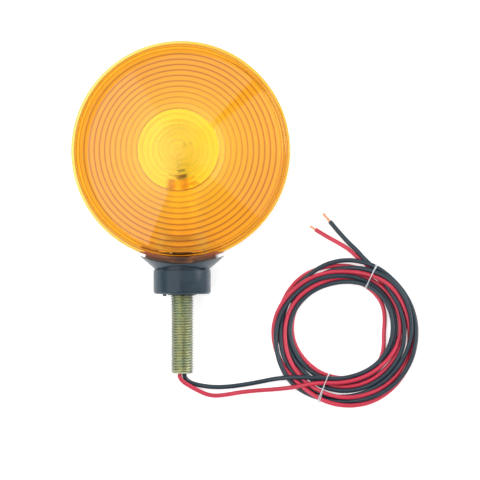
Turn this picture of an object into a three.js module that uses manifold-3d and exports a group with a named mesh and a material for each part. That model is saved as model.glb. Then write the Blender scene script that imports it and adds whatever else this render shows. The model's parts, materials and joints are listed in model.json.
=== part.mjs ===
// Double-face pedestal lamp: an amber lens and a clear lens on a black pedestal, with a hollow
// threaded stud and two loose leads. It lies on its back, resting on the clear dome and the stud's end.
//
// Lamp frame (inside the tilted group): origin at the middle of the lenses, Z along the lens axis
// towards the amber side, Y along the stud towards the top of the lamp. Millimetres throughout.

import * as THREE from 'three';
import { mergeVertices } from 'three/addons/utils/BufferGeometryUtils.js';
import Module from 'manifold-3d';

const wasm = await Module();
wasm.setup();

// ---------------------------------------------------------------- driving dimensions

const GAP = 0.3;                       // clearance between touching pieces

const LENS_RADIUS = 52.4;              // outside of the skirt
const LENS_WALL = 2.2;
const SKIRT_DEPTH = 11.5;              // from the middle plane to the rim
const RIM_WIDTH = 1.7;                 // flat ring between skirt and dome
const RIM_CORNER = 0.6;
const DOME_EDGE_STEP = 0.7;            // the dome's edge stands this far inside the flat ring
const DOME_INNER_EDGE = 2;             // and its inner surface ends this far inside the skirt's wall
const DOME_HEIGHT = 27.5;              // from the middle plane to the top of the dome
const DOME_RADIUS = 93.4;
const WINDOW_RADIUS = 19.2;            // thin middle of the lens
const WINDOW_WALL = 1.3;
const LENS_SPLIT = 0.8;                // half the distance between the two skirts
const FOOT_RADIUS = 53.8;              // outside of the foot that sits in the saddle
const FOOT_HALF_WIDTH = 17;
const FOOT_FROM = 3.3;
const FOOT_TO = 11;
const FOOT_ROOT = 1;                   // how far the foot reaches into the skirt
const NOTCH_CLEARANCE = 0.7;           // round the stud, where it passes the two skirts

const PLATE_RADIUS = 51.9;
const PLATE_THICKNESS = 1;
const PLATE_WINDOW = 21.5;
const PLATE_SLOT_HALF = 9.4;           // the slot just clears the socket and the bulb's pins
const PLATE_SLOT_TOP_Y = -13;
const PLATE_FOOT_HALF = 11.4;          // and widens at its foot, round the nut and the washer
const PLATE_FOOT_TOP_Y = -41;

const SADDLE_TIP_HALF = 20.7;          // half the width of the flared top
const SADDLE_TIP_Y = -49.98;
const SADDLE_NECK_HALF = 13.6;
const SADDLE_NECK_Y = -56.2;
const SADDLE_ABOVE_TIPS = 4;           // the flare is drawn past its tips and then scooped out
const SCOOP_RADIUS = 54.1;
const RIB_RADIUS = 52.7;               // ridge that parts the two lens feet
const RIB_HALF_DEPTH = 3;
const RIB_HALF_WIDTH = 16.5;
const NECK_RADIUS = 12.2;
const NECK_END_Y = -57;
const SPIGOT_RADIUS = 9;
const SPIGOT_END_Y = -61;

const COLLAR_RADIUS = 13.8;
const COLLAR_TOP_Y = NECK_END_Y - GAP;
const SEAT_Y = -68.6;                  // flat underside that meets the surface the lamp is bolted to
const COLLAR_FILLET = 1.6;
const COLLAR_CHAMFER = 0.4;
const BOSS_WIDTH = 1;                  // raised ring round the stud's hole
const BOSS_HEIGHT = 0.5;
const PIP_RADIUS = 0.9;                // moulding pip on the underside
const PIP_HEIGHT = 0.9;
const PIP_PLACE = [-8.2, 3];

const STUD_RADIUS = 5.555;             // 7/16 inch thread, 20 to the inch
const STUD_BORE = 3.3;
const STUD_END_Y = -106.6;
const STUD_TOP_Y = -41.9;
const STUD_CHAMFER = 0.8;
const STUD_HOLE = STUD_RADIUS + GAP;

const NUT_ACROSS_FLATS = 17.5;
const NUT_TOP_Y = -42.4;
const NUT_HEIGHT = 4.5;
const WASHER_TOP_Y = -47.2;
const WASHER_THICKNESS = 1.4;
const WASHER_SIZE = [22, 17];

const SHELL_OUTSIDE = 8.6;
const SHELL_INSIDE = 7.9;
const SHELL_BOTTOM_Y = -41.6;
const SHELL_TOP_Y = -19;
const BASE_TOP_Y = -38.9;
const BASE_BOTTOM_Y = -40.5;
const LEAD_HOLE = 3.4;
const TAG_SIZE = [1.9, 0.6, 1.8];      // ground tag, soldered to the black lead's end
const SPRING_WIRE = 0.7;
const SPRING_RADIUS = 5;
const SPRING_TURNS = 2.5;
const PLUNGER_RADIUS = 7.4;
const PLUNGER_TOP_Y = -31.8;
const PLUNGER_BOTTOM_Y = -33.1;
const CONTACT_RADIUS = 2;
const CONTACT_TOP_Y = -31.3;
const CONTACT_BOTTOM_Y = -34;
const PUSH_TRAVEL = 2.5;               // how far the bulb pushes the plunger down
const TURN_ANGLE = 20;                 // degrees from locked to lined up with the open leg

const BULB_Y = 3;                      // middle of the glass globe
const BULB_RADIUS = 13.2;
const BULB_WALL = 0.9;
const CAP_RADIUS = 7.5;
const CAP_WALL = 0.4;
const CAP_TOP_Y = -13.5;
const CAP_BOTTOM_Y = -29.5;
const CAP_FLOOR = 1.5;
const CAP_CORNER = 1;
const NECK_IN_CAP = 3;                 // how far the glass goes down into the cap
const SHOULDER = [0.6, 2.6];           // the glass widens by this much, this far above the cap
const SOLDER_PROFILE = [[0, -1.2], [1.6, -0.9], [2.2, 0], [0, 0]];
const STEM_PROFILE = [[0, -15.5], [4.6, -15.5], [2.6, -12.5], [1.3, -9], [1.3, -3.5], [0, -3]];
const PIN_RADIUS = 1;
const PIN_REACH = 8.9;
const PIN_Y = -23.5;
const FILAMENT_Y = 3.5;
const FILAMENT_HALF = 3.6;
const FILAMENT_DIAMETER = 0.9;
const FILAMENT_RISE = 1.2;
const SUPPORT_ROUTE = [[1.9, -8.5], [2.3, -4], [FILAMENT_HALF, FILAMENT_Y - 2], [FILAMENT_HALF, FILAMENT_Y + 0.4]];
const SUPPORT_DIAMETER = 0.5;

const RED_DIAMETER = 2.07;
const BLACK_DIAMETER = 2.2;
const RED_STRANDS = { length: 3, diameter: 1.1 };
const BLACK_STRANDS = { length: 5, diameter: 1.3 };
const RED_IN_BORE = [-1.05, 0.7];      // lamp x and z of the lead inside the stud
const BLACK_IN_BORE = [1.05, -0.7];

const COIL_CENTRE = [78.1, -57.2];     // on the surface, in the object's own frame
const COIL_INSIDE = 22.6;
const COIL_OUTSIDE = 36;
const COIL_BOTTOM = 0.9;
const COIL_TOP = 6.6;
const COIL_CORNER = 1.6;
const TIE_DIAMETER = 0.5;
const TIE_CORNER = 1.4;
const TIE_ANGLES = { tie_upper: 63, tie_lower: 250.5 };

// The lamp's resting tilt: a line that touches the rear dome and the corner where the stud's chamfer starts.
const STUD_EDGE = STUD_RADIUS - STUD_CHAMFER;
const STUD_CORNER_Y = STUD_END_Y + STUD_CHAMFER;
const DOME_CENTRE = DOME_RADIUS - DOME_HEIGHT;
const REACH = Math.hypot(DOME_CENTRE + STUD_RADIUS, STUD_CORNER_Y);
const TILT = Math.atan2(-STUD_CORNER_Y, DOME_CENTRE + STUD_RADIUS) - Math.acos(DOME_RADIUS / REACH);
const LAMP_HEIGHT = DOME_RADIUS - DOME_CENTRE * Math.cos(TILT);
// The origin is under the middle of the lamp's length, which runs from the stud's end to the rear rim.
const LOW_END = STUD_END_Y * Math.cos(TILT) - STUD_EDGE * Math.sin(TILT);
const HIGH_END = LENS_RADIUS * Math.cos(TILT) + SKIRT_DEPTH * Math.sin(TILT);
const LAMP_Y = -(LOW_END + HIGH_END) / 2;

// ---------------------------------------------------------------- materials

const finish = (color, roughness, metalness = 0) =>
  new THREE.MeshStandardMaterial({ color, roughness, metalness });

const AMBER = finish(0xfca52e, 0.12);
const CLEAR = finish(0xf2f0f4, 0.1);
const WHITE = finish(0xf0eee8, 0.5);
const BLACK = finish(0x2b3238, 0.4);
const YELLOW_ZINC = finish(0xa69a58, 0.35, 1);
const STEEL = finish(0xb9bcc0, 0.35, 1);
const BRASS = finish(0xc9a54a, 0.35, 1);
const PHENOLIC = finish(0x6a3f22, 0.6);
const GLASS = finish(0xeef2f2, 0.05);
const TUNGSTEN = finish(0x55555a, 0.5, 1);
const RED_PVC = finish(0xd8374a, 0.45);
const BLACK_PVC = finish(0x2a3238, 0.45);
const COPPER = finish(0xd79a73, 0.35, 1);
const TIE_CLEAR = finish(0xcfdde2, 0.3);

// ---------------------------------------------------------------- helpers

// A closed geometry becomes a solid that can be joined and cut.
function solid(geometry) {
  const bare = geometry.index ? geometry.toNonIndexed() : geometry.clone();
  bare.deleteAttribute('normal');
  bare.deleteAttribute('uv');
  const merged = mergeVertices(bare, 1e-4);
  const index = merged.index.array;
  const triangles = [];
  for (let i = 0; i < index.length; i += 3) {
    const [a, b, c] = [index[i], index[i + 1], index[i + 2]];
    if (a !== b && b !== c && c !== a) triangles.push(a, b, c);
  }
  return new wasm.Manifold(new wasm.Mesh({
    numProp: 3,
    vertProperties: new Float32Array(merged.attributes.position.array),
    triVerts: new Uint32Array(triangles),
  }));
}

function geometryOf(manifold) {
  const mesh = manifold.getMesh();
  const geometry = new THREE.BufferGeometry();
  geometry.setAttribute('position', new THREE.BufferAttribute(new Float32Array(mesh.vertProperties), 3));
  geometry.setIndex(new THREE.BufferAttribute(new Uint32Array(mesh.triVerts), 1));
  geometry.computeVertexNormals();
  return geometry;
}

function piece(name, shape, material) {
  const geometry = shape.isBufferGeometry ? shape : geometryOf(shape);
  const mesh = new THREE.Mesh(geometry, material);
  mesh.name = name;
  return mesh;
}

const point = ([x, y]) => new THREE.Vector2(x, y);

// Turned about the lamp's Y axis; the profile is [radius, y] pairs, anticlockwise.
function turned(profile, segments = 24) {
  return new THREE.LatheGeometry(profile.map(point), segments);
}

// The same about the lens axis: the profile's heights run along Z.
function turnedOnLensAxis(profile, segments) {
  return turned(profile, segments).rotateX(Math.PI / 2);
}

function ring(inside, outside, bottom, top, segments = 24) {
  return turned([[inside, bottom], [outside, bottom], [outside, top], [inside, top], [inside, bottom]], segments);
}

function disc(radius, bottom, top, segments = 24) {
  return turned([[0, bottom], [radius, bottom], [radius, top], [0, top]], segments);
}

// A wide drum about the lens axis, to hollow out what the round lens sits in.
function drum(radius) {
  return new THREE.CylinderGeometry(radius, radius, 2 * radius, 72).rotateX(Math.PI / 2);
}

function block(sizeX, sizeY, sizeZ, x, y, z) {
  return new THREE.BoxGeometry(sizeX, sizeY, sizeZ).translate(x, y, z);
}

// Points of an arc from one angle to another, in degrees.
function arc(centreX, centreY, radius, from, to, steps) {
  const points = [];
  for (let i = 0; i <= steps; i += 1) {
    const angle = THREE.MathUtils.degToRad(from + (to - from) * i / steps);
    points.push([centreX + radius * Math.cos(angle), centreY + radius * Math.sin(angle)]);
  }
  return points;
}

// A round tube along points, swept with a section of a few sides.
function tube(points, diameter, steps, sides = 8) {
  const section = new THREE.Shape(arc(0, 0, diameter / 2, 0, 360 - 360 / sides, sides - 1).map(point));
  const path = new THREE.CatmullRomCurve3(points.map(([x, y, z]) => new THREE.Vector3(x, y, z)));
  return new THREE.ExtrudeGeometry(section, { steps, extrudePath: path, bevelEnabled: false });
}

// ---------------------------------------------------------------- lenses

const domeCentreZ = DOME_HEIGHT - DOME_RADIUS;
const domeZ = (radius, inset = 0) => domeCentreZ + Math.sqrt((DOME_RADIUS - inset) ** 2 - radius ** 2);

function domeArc(fromRadius, toRadius, inset, steps) {
  const points = [];
  for (let i = 0; i <= steps; i += 1) {
    const radius = fromRadius + (toRadius - fromRadius) * i / steps;
    points.push([radius, domeZ(radius, inset)]);
  }
  return points;
}

function lensShell() {
  const inside = LENS_RADIUS - LENS_WALL;
  const domeEdge = LENS_RADIUS - RIM_WIDTH - DOME_EDGE_STEP;
  const innerEdge = inside - DOME_INNER_EDGE;
  const profile = [
    [inside, LENS_SPLIT],
    [LENS_RADIUS, LENS_SPLIT],
    ...arc(LENS_RADIUS - RIM_CORNER, SKIRT_DEPTH - RIM_CORNER, RIM_CORNER, 0, 90, 2),
    [LENS_RADIUS - RIM_WIDTH, SKIRT_DEPTH],
    ...domeArc(domeEdge, 0, 0, 7),
    [0, domeZ(0, WINDOW_WALL)],
    ...domeArc(WINDOW_RADIUS / 2, WINDOW_RADIUS, WINDOW_WALL, 1),
    ...domeArc(WINDOW_RADIUS + GAP, innerEdge, LENS_WALL, 4),
    [inside, domeZ(innerEdge, LENS_WALL) - DOME_INNER_EDGE],
    [inside, LENS_SPLIT],
  ];
  return solid(turnedOnLensAxis(profile, 48));
}

function lensFoot() {
  const half = THREE.MathUtils.radToDeg(Math.asin(FOOT_HALF_WIDTH / FOOT_RADIUS));
  const outline = [
    ...arc(0, 0, FOOT_RADIUS, 270 - half, 270 + half, 6),
    ...arc(0, 0, LENS_RADIUS - FOOT_ROOT, 270 + half, 270 - half, 6),
  ];
  const shape = new THREE.Shape(outline.map(point));
  const depth = FOOT_TO - FOOT_FROM;
  return solid(new THREE.ExtrudeGeometry(shape, { depth, bevelEnabled: false }).translate(0, 0, FOOT_FROM));
}

function lens() {
  const studNotch = solid(disc(STUD_RADIUS + NOTCH_CLEARANCE, SPIGOT_END_Y, STUD_TOP_Y + 2, 16));
  return geometryOf(lensShell().add(lensFoot()).subtract(studNotch));
}

function reflectorPlate() {
  const outline = new THREE.Shape(arc(0, 0, PLATE_RADIUS, 0, 352.5, 47).map(point));
  outline.holes.push(new THREE.Path(arc(0, 0, PLATE_WINDOW, 0, 348.75, 31).map(point)));
  const plate = new THREE.ExtrudeGeometry(outline, { depth: PLATE_THICKNESS, bevelEnabled: false });
  const slotDown = (halfWidth, topY) => {
    const length = PLATE_RADIUS + topY + GAP;
    return solid(block(2 * halfWidth, length, 4 * PLATE_THICKNESS, 0, topY - length / 2, 0));
  };
  return solid(plate.translate(0, 0, -PLATE_THICKNESS / 2))
    .subtract(slotDown(PLATE_SLOT_HALF, PLATE_SLOT_TOP_Y))
    .subtract(slotDown(PLATE_FOOT_HALF, PLATE_FOOT_TOP_Y));
}

// ---------------------------------------------------------------- pedestal and stud

function saddle() {
  const slope = (SADDLE_TIP_HALF - SADDLE_NECK_HALF) / (SADDLE_TIP_Y - SADDLE_NECK_Y);
  const highY = SADDLE_TIP_Y + SADDLE_ABOVE_TIPS;
  const body = solid(turned([
    [0, SPIGOT_END_Y],
    [SPIGOT_RADIUS, SPIGOT_END_Y],
    [SPIGOT_RADIUS, NECK_END_Y],
    [NECK_RADIUS, NECK_END_Y],
    [NECK_RADIUS, SADDLE_NECK_Y + GAP / 2],
    [SADDLE_NECK_HALF, SADDLE_NECK_Y],
    [SADDLE_NECK_HALF + slope * (highY - SADDLE_NECK_Y), highY],
    [0, highY],
  ], 36));
  const scoop = solid(drum(SCOOP_RADIUS));
  const lensRoom = solid(drum(RIB_RADIUS));
  const ribHeight = highY - SPIGOT_END_Y;
  const ribY = SPIGOT_END_Y + ribHeight / 2;
  const ribBlock = solid(block(2 * RIB_HALF_WIDTH, ribHeight, 2 * RIB_HALF_DEPTH, 0, ribY, 0));
  const rib = body.intersect(ribBlock).subtract(lensRoom);
  const bore = solid(disc(STUD_HOLE, SPIGOT_END_Y - 1, highY + 1));
  return body.subtract(scoop).add(rib).subtract(bore);
}

function collar() {
  const fillet = arc(COLLAR_RADIUS - COLLAR_FILLET, SEAT_Y + COLLAR_FILLET, COLLAR_FILLET, -90, 0, 3);
  const socketRadius = SPIGOT_RADIUS + GAP;
  const socketY = SPIGOT_END_Y - GAP;
  const bossRadius = STUD_HOLE + BOSS_WIDTH;
  const bossY = SEAT_Y - BOSS_HEIGHT;
  const body = solid(turned([
    [STUD_HOLE, bossY],
    [bossRadius, bossY],
    [bossRadius, SEAT_Y],
    ...fillet,
    [COLLAR_RADIUS, COLLAR_TOP_Y - COLLAR_CHAMFER],
    [COLLAR_RADIUS - COLLAR_CHAMFER, COLLAR_TOP_Y],
    [socketRadius, COLLAR_TOP_Y],
    [socketRadius, socketY],
    [STUD_HOLE, socketY],
    [STUD_HOLE, bossY],
  ], 36));
  const [pipX, pipZ] = PIP_PLACE;
  const pip = solid(disc(PIP_RADIUS, SEAT_Y - PIP_HEIGHT, SEAT_Y + PIP_RADIUS, 8).translate(pipX, 0, pipZ));
  return body.add(pip);
}

function stud() {
  return turned([
    [STUD_BORE, STUD_END_Y],
    [STUD_EDGE, STUD_END_Y],
    [STUD_RADIUS, STUD_END_Y + STUD_CHAMFER],
    [STUD_RADIUS, STUD_TOP_Y - STUD_CHAMFER],
    [STUD_EDGE, STUD_TOP_Y],
    [STUD_BORE, STUD_TOP_Y],
    [STUD_BORE, STUD_END_Y],
  ]);
}

function jamNut() {
  const corner = NUT_ACROSS_FLATS / Math.sqrt(3);
  const outline = new THREE.Shape(arc(0, 0, corner, 0, 300, 5).map(point));
  outline.holes.push(new THREE.Path(arc(0, 0, STUD_HOLE, 0, 337.5, 15).map(point)));
  const nut = new THREE.ExtrudeGeometry(outline, { depth: NUT_HEIGHT, bevelEnabled: false });
  return nut.rotateX(Math.PI / 2).translate(0, NUT_TOP_Y, 0);
}

function clampWasher() {
  const [width, depth] = WASHER_SIZE;
  const plate = solid(block(width, WASHER_THICKNESS, depth, 0, WASHER_TOP_Y - WASHER_THICKNESS / 2, 0));
  return plate.subtract(solid(disc(STUD_HOLE, WASHER_TOP_Y - 2 * WASHER_THICKNESS, WASHER_TOP_Y + 1, 16)));
}

// ---------------------------------------------------------------- bayonet socket

function socketShell() {
  let shell = solid(turned([
    [LEAD_HOLE, SHELL_BOTTOM_Y],
    [SHELL_OUTSIDE, SHELL_BOTTOM_Y],
    [SHELL_OUTSIDE, SHELL_TOP_Y],
    [SHELL_INSIDE, SHELL_TOP_Y],
    [SHELL_INSIDE, BASE_BOTTOM_Y - GAP],
    [LEAD_HOLE, BASE_BOTTOM_Y - GAP],
    [LEAD_HOLE, SHELL_BOTTOM_Y],
  ], 32));
  // Each J window is a level run, where the pin turns and is pushed down, and an open leg at its end.
  const slotWidth = 2 * (PIN_RADIUS + GAP);
  const runTop = PIN_Y + PIN_RADIUS + GAP;
  const runBottom = PIN_Y - PIN_RADIUS - GAP - PUSH_TRAVEL;
  const run = block(5, runTop - runBottom, slotWidth, SHELL_INSIDE, (runTop + runBottom) / 2, 0);
  const leg = block(5, SHELL_TOP_Y + 1 - runBottom, slotWidth, SHELL_INSIDE, (SHELL_TOP_Y + 1 + runBottom) / 2, 0);
  for (const side of [0, 180]) {
    for (let angle = 0; angle <= TURN_ANGLE; angle += 5) {
      const window = angle === TURN_ANGLE ? leg : run;
      shell = shell.subtract(solid(window.clone().rotateY(THREE.MathUtils.degToRad(side + angle))));
    }
  }
  return shell;
}

function groundTag() {
  const [x, z] = BLACK_IN_BORE;
  return block(...TAG_SIZE, x, BASE_TOP_Y + GAP + TAG_SIZE[1], z);
}

function contactPlunger() {
  return ring(CONTACT_RADIUS + GAP, PLUNGER_RADIUS, PLUNGER_BOTTOM_Y, PLUNGER_TOP_Y);
}

function plungerSpring() {
  const steps = 12 * SPRING_TURNS;
  const low = BASE_TOP_Y + GAP + SPRING_WIRE / 2;
  const high = PLUNGER_BOTTOM_Y - GAP - SPRING_WIRE / 2;
  const points = [];
  for (let i = 0; i <= steps; i += 1) {
    const angle = 2 * Math.PI * SPRING_TURNS * i / steps;
    const y = low + (high - low) * i / steps;
    points.push([SPRING_RADIUS * Math.cos(angle), y, SPRING_RADIUS * Math.sin(angle)]);
  }
  return tube(points, SPRING_WIRE, steps, 6);
}

// ---------------------------------------------------------------- bulb

function bulbGlass() {
  const neckRadius = CAP_RADIUS - CAP_WALL - GAP;
  const neckY = CAP_TOP_Y - NECK_IN_CAP;
  const shoulder = [neckRadius + SHOULDER[0], CAP_TOP_Y + SHOULDER[1]];
  const inner = BULB_RADIUS - BULB_WALL;
  return turned([
    [neckRadius - BULB_WALL, neckY],
    [neckRadius, neckY],
    [neckRadius, CAP_TOP_Y + 1],
    shoulder,
    ...arc(0, BULB_Y, BULB_RADIUS, -42, 90, 7).map(([r, y]) => [Math.abs(r) < 1e-9 ? 0 : r, y]),
    ...arc(0, BULB_Y, inner, 90, -42, 7).map(([r, y]) => [Math.abs(r) < 1e-9 ? 0 : r, y]),
    [shoulder[0] - BULB_WALL, shoulder[1]],
    [neckRadius - BULB_WALL, CAP_TOP_Y + 1],
    [neckRadius - BULB_WALL, neckY],
  ]);
}

function bulbCap() {
  const cup = solid(turned([
    [0, CAP_BOTTOM_Y],
    [CAP_RADIUS - CAP_CORNER, CAP_BOTTOM_Y],
    [CAP_RADIUS, CAP_BOTTOM_Y + CAP_CORNER],
    [CAP_RADIUS, CAP_TOP_Y],
    [CAP_RADIUS - CAP_WALL, CAP_TOP_Y],
    [CAP_RADIUS - CAP_WALL, CAP_BOTTOM_Y + CAP_FLOOR],
    [0, CAP_BOTTOM_Y + CAP_FLOOR],
  ]));
  const pin = new THREE.CylinderGeometry(PIN_RADIUS, PIN_RADIUS, PIN_REACH - CAP_RADIUS + CAP_WALL, 8)
    .rotateZ(Math.PI / 2)
    .translate((PIN_REACH + CAP_RADIUS - CAP_WALL) / 2, PIN_Y, 0);
  return cup.add(solid(pin)).add(solid(pin.clone().rotateY(Math.PI)));
}

function bulbContact() {
  return turned(SOLDER_PROFILE.map(([radius, y]) => [radius, CAP_BOTTOM_Y - GAP + y]), 16);
}

const filament = () => tube([
  [-FILAMENT_HALF + GAP + SUPPORT_DIAMETER, FILAMENT_Y, 0],
  [0, FILAMENT_Y + FILAMENT_RISE, 0],
  [FILAMENT_HALF - GAP - SUPPORT_DIAMETER, FILAMENT_Y, 0],
], FILAMENT_DIAMETER, 8, 6);

const supportWire = (side) => tube(SUPPORT_ROUTE.map(([x, y]) => [side * x, y, 0]), SUPPORT_DIAMETER, 8, 6);

// ---------------------------------------------------------------- leads

// Hand-laid routes on the surface, in the object's own frame. Each starts at the stud's end.
const redHeight = RED_DIAMETER / 2;
const blackHeight = BLACK_DIAMETER / 2;
const RED_ROUTE = [
  [-1.05, -78.7, 6.0], [-1.0, -80.2, 5.4], [0.4, -82.0, 4.4], [3.4, -83.9, 3.2], [7.6, -86.0, 2.0],
  [11.8, -87.7, 1.3], [15.6, -88.3, redHeight], [20.6, -87.9, redHeight], [27.8, -86.7, redHeight],
  [36.0, -85.8, redHeight], [44.4, -85.2, 1.3], [52.4, -84.6, 2.7],
];
const BLACK_ROUTE = [
  [1.05, -78.4, 4.6], [1.2, -79.7, 3.9], [2.4, -81.2, 2.9], [5.2, -82.6, 1.8], [9.6, -83.5, blackHeight],
  [15.0, -84.1, blackHeight], [22.0, -83.9, blackHeight], [29.0, -83.0, blackHeight],
  [36.8, -81.6, blackHeight], [43.4, -80.4, 1.7], [48.2, -80.0, 2.9],
];
const RED_TAIL = [
  [83.2, -19.6, 2.2], [79.8, -16.4, 1.5], [75.4, -13.4, redHeight], [69.0, -9.7, redHeight],
  [63.4, -6.2, redHeight],
];
const BLACK_TAIL = [
  [86.6, -20.6, 3.0], [83.6, -17.0, 2.2], [79.8, -13.1, 1.3], [75.4, -8.2, blackHeight],
  [70.4, -2.2, blackHeight],
];

// The stripped strands go on from a tail's last point, in line with its last stretch.
function bareEnd(route, { length, diameter }) {
  const last = new THREE.Vector3(...route.at(-1));
  const along = last.clone().sub(new THREE.Vector3(...route.at(-2))).normalize();
  const start = last.clone().addScaledVector(along, GAP);
  const end = start.clone().addScaledVector(along, length);
  return tube([start.toArray(), end.toArray()], diameter, 2, 8);
}

function leadInside([x, z], diameter, topY) {
  return new THREE.CylinderGeometry(diameter / 2, diameter / 2, topY - STUD_END_Y - GAP, 8)
    .translate(x, (topY + STUD_END_Y + GAP) / 2, z);
}

function coil() {
  const outer = COIL_OUTSIDE - COIL_CORNER;
  const inner = COIL_INSIDE + COIL_CORNER;
  const low = COIL_BOTTOM + COIL_CORNER;
  const high = COIL_TOP - COIL_CORNER;
  const profile = [
    ...arc(outer, low, COIL_CORNER, -90, 0, 2),
    ...arc(outer, high, COIL_CORNER, 0, 90, 2),
    ...arc(inner, high, COIL_CORNER, 90, 180, 2),
    ...arc(inner, low, COIL_CORNER, 180, 270, 2),
  ];
  profile.push(profile[0]);
  return turned(profile, 40).rotateX(Math.PI / 2).translate(...COIL_CENTRE, 0);
}

// A tie is a thin hoop over the bundle, square to the coil and open at the surface.
function tie(angle) {
  const middle = (COIL_INSIDE + COIL_OUTSIDE) / 2;
  const half = (COIL_OUTSIDE - COIL_INSIDE) / 2 + GAP + TIE_DIAMETER;
  const top = COIL_TOP + GAP + TIE_DIAMETER / 2;
  const low = TIE_DIAMETER / 2;
  const corner = arc(half - TIE_CORNER, top - TIE_CORNER, TIE_CORNER, 0, 90, 2);
  const side = [[half, low], [half, top / 3], ...corner];
  const across = [...side.map(([out, z]) => [-out, z]), [0, top], ...side.reverse()];
  const turn = THREE.MathUtils.degToRad(angle);
  const points = across.map(([outwards, z]) => [
    COIL_CENTRE[0] + (middle + outwards) * Math.cos(turn),
    COIL_CENTRE[1] + (middle + outwards) * Math.sin(turn),
    z,
  ]);
  return tube(points, TIE_DIAMETER, 14, 6);
}

// ---------------------------------------------------------------- assembly

const lamp = new THREE.Group();
lamp.rotation.x = TILT;
lamp.position.set(0, LAMP_Y, LAMP_HEIGHT);

const rearLens = piece('rear_lens', lens(), CLEAR);
rearLens.rotation.y = Math.PI;
lamp.add(
  piece('front_lens', lens(), AMBER),
  rearLens,
  piece('reflector_plate', reflectorPlate(), WHITE),
  piece('pedestal_saddle', saddle(), BLACK),
  piece('pedestal_collar', collar(), BLACK),
  piece('mounting_stud', stud(), YELLOW_ZINC),
  piece('jam_nut', jamNut(), STEEL),
  piece('clamp_washer', clampWasher(), STEEL),
  piece('socket_shell', socketShell(), STEEL),
  piece('socket_base', ring(LEAD_HOLE, PLUNGER_RADIUS, BASE_BOTTOM_Y, BASE_TOP_Y), PHENOLIC),
  piece('ground_tag', groundTag(), BRASS),
  piece('contact_plunger', contactPlunger(), PHENOLIC),
  piece('plunger_contact', disc(CONTACT_RADIUS, CONTACT_BOTTOM_Y, CONTACT_TOP_Y, 16), BRASS),
  piece('plunger_spring', plungerSpring(), STEEL),
  piece('bulb_glass', bulbGlass(), GLASS),
  piece('bulb_cap', bulbCap(), BRASS),
  piece('bulb_contact', bulbContact(), STEEL),
  piece('bulb_stem', turned(STEM_PROFILE, 16), GLASS),
  piece('bulb_filament', filament(), TUNGSTEN),
  piece('support_wire_left', supportWire(-1), STEEL),
  piece('support_wire_right', supportWire(1), STEEL),
  piece('red_lead_inside', leadInside(RED_IN_BORE, RED_DIAMETER, CONTACT_BOTTOM_Y - PUSH_TRAVEL - GAP), RED_PVC),
  piece('black_lead_inside', leadInside(BLACK_IN_BORE, BLACK_DIAMETER, BASE_TOP_Y), BLACK_PVC),
);

const part = new THREE.Group();
part.add(
  lamp,
  piece('red_lead', tube(RED_ROUTE, RED_DIAMETER, 14), RED_PVC),
  piece('black_lead', tube(BLACK_ROUTE, BLACK_DIAMETER, 14), BLACK_PVC),
  piece('lead_coil', coil(), BLACK_PVC),
  piece('red_tail', tube(RED_TAIL, RED_DIAMETER, 6), RED_PVC),
  piece('black_tail', tube(BLACK_TAIL, BLACK_DIAMETER, 6), BLACK_PVC),
  piece('red_bare_end', bareEnd(RED_TAIL, RED_STRANDS), COPPER),
  piece('black_bare_end', bareEnd(BLACK_TAIL, BLACK_STRANDS), COPPER),
);
for (const [name, angle] of Object.entries(TIE_ANGLES)) part.add(piece(name, tie(angle), TIE_CLEAR));

export default part;
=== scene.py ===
import json
import math

import bmesh
import bpy
import numpy as np
from mathutils import Matrix, Vector


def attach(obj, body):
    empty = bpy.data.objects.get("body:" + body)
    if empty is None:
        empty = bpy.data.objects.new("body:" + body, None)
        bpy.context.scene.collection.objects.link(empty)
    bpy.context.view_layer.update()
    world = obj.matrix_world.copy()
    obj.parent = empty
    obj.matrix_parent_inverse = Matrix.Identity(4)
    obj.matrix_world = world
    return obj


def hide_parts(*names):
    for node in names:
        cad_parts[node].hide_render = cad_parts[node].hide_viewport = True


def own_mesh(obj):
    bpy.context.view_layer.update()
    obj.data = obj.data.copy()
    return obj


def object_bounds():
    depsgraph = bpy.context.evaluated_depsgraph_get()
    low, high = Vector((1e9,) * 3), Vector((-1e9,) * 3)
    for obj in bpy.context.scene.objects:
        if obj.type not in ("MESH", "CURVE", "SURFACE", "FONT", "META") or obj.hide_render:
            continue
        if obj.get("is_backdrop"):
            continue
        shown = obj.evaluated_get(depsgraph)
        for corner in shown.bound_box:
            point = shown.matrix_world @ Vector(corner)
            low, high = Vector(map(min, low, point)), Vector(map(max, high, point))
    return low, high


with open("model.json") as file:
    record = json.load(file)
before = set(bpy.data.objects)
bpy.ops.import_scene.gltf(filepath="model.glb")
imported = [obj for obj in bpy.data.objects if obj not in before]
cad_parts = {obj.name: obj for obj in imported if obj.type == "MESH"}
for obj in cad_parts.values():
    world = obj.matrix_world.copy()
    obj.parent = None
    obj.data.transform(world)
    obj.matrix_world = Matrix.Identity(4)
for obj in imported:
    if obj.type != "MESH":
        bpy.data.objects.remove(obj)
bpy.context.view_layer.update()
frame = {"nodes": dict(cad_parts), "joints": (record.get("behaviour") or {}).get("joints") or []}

# Double-face pedestal lamp: an amber lens and a clear lens back to back on a black pedestal, with a
# hollow threaded stud, a bayonet bulb and two loose leads in a tied coil.
#
# Two frames are used. The object's own frame is the CAD frame. The lamp frame has its origin in the
# middle of the lenses, Y along the stud towards the top of the lamp and Z towards the amber lens.
# Sizes are in millimetres until a mesh is placed, and in metres from then on.

MM = 0.001

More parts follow.
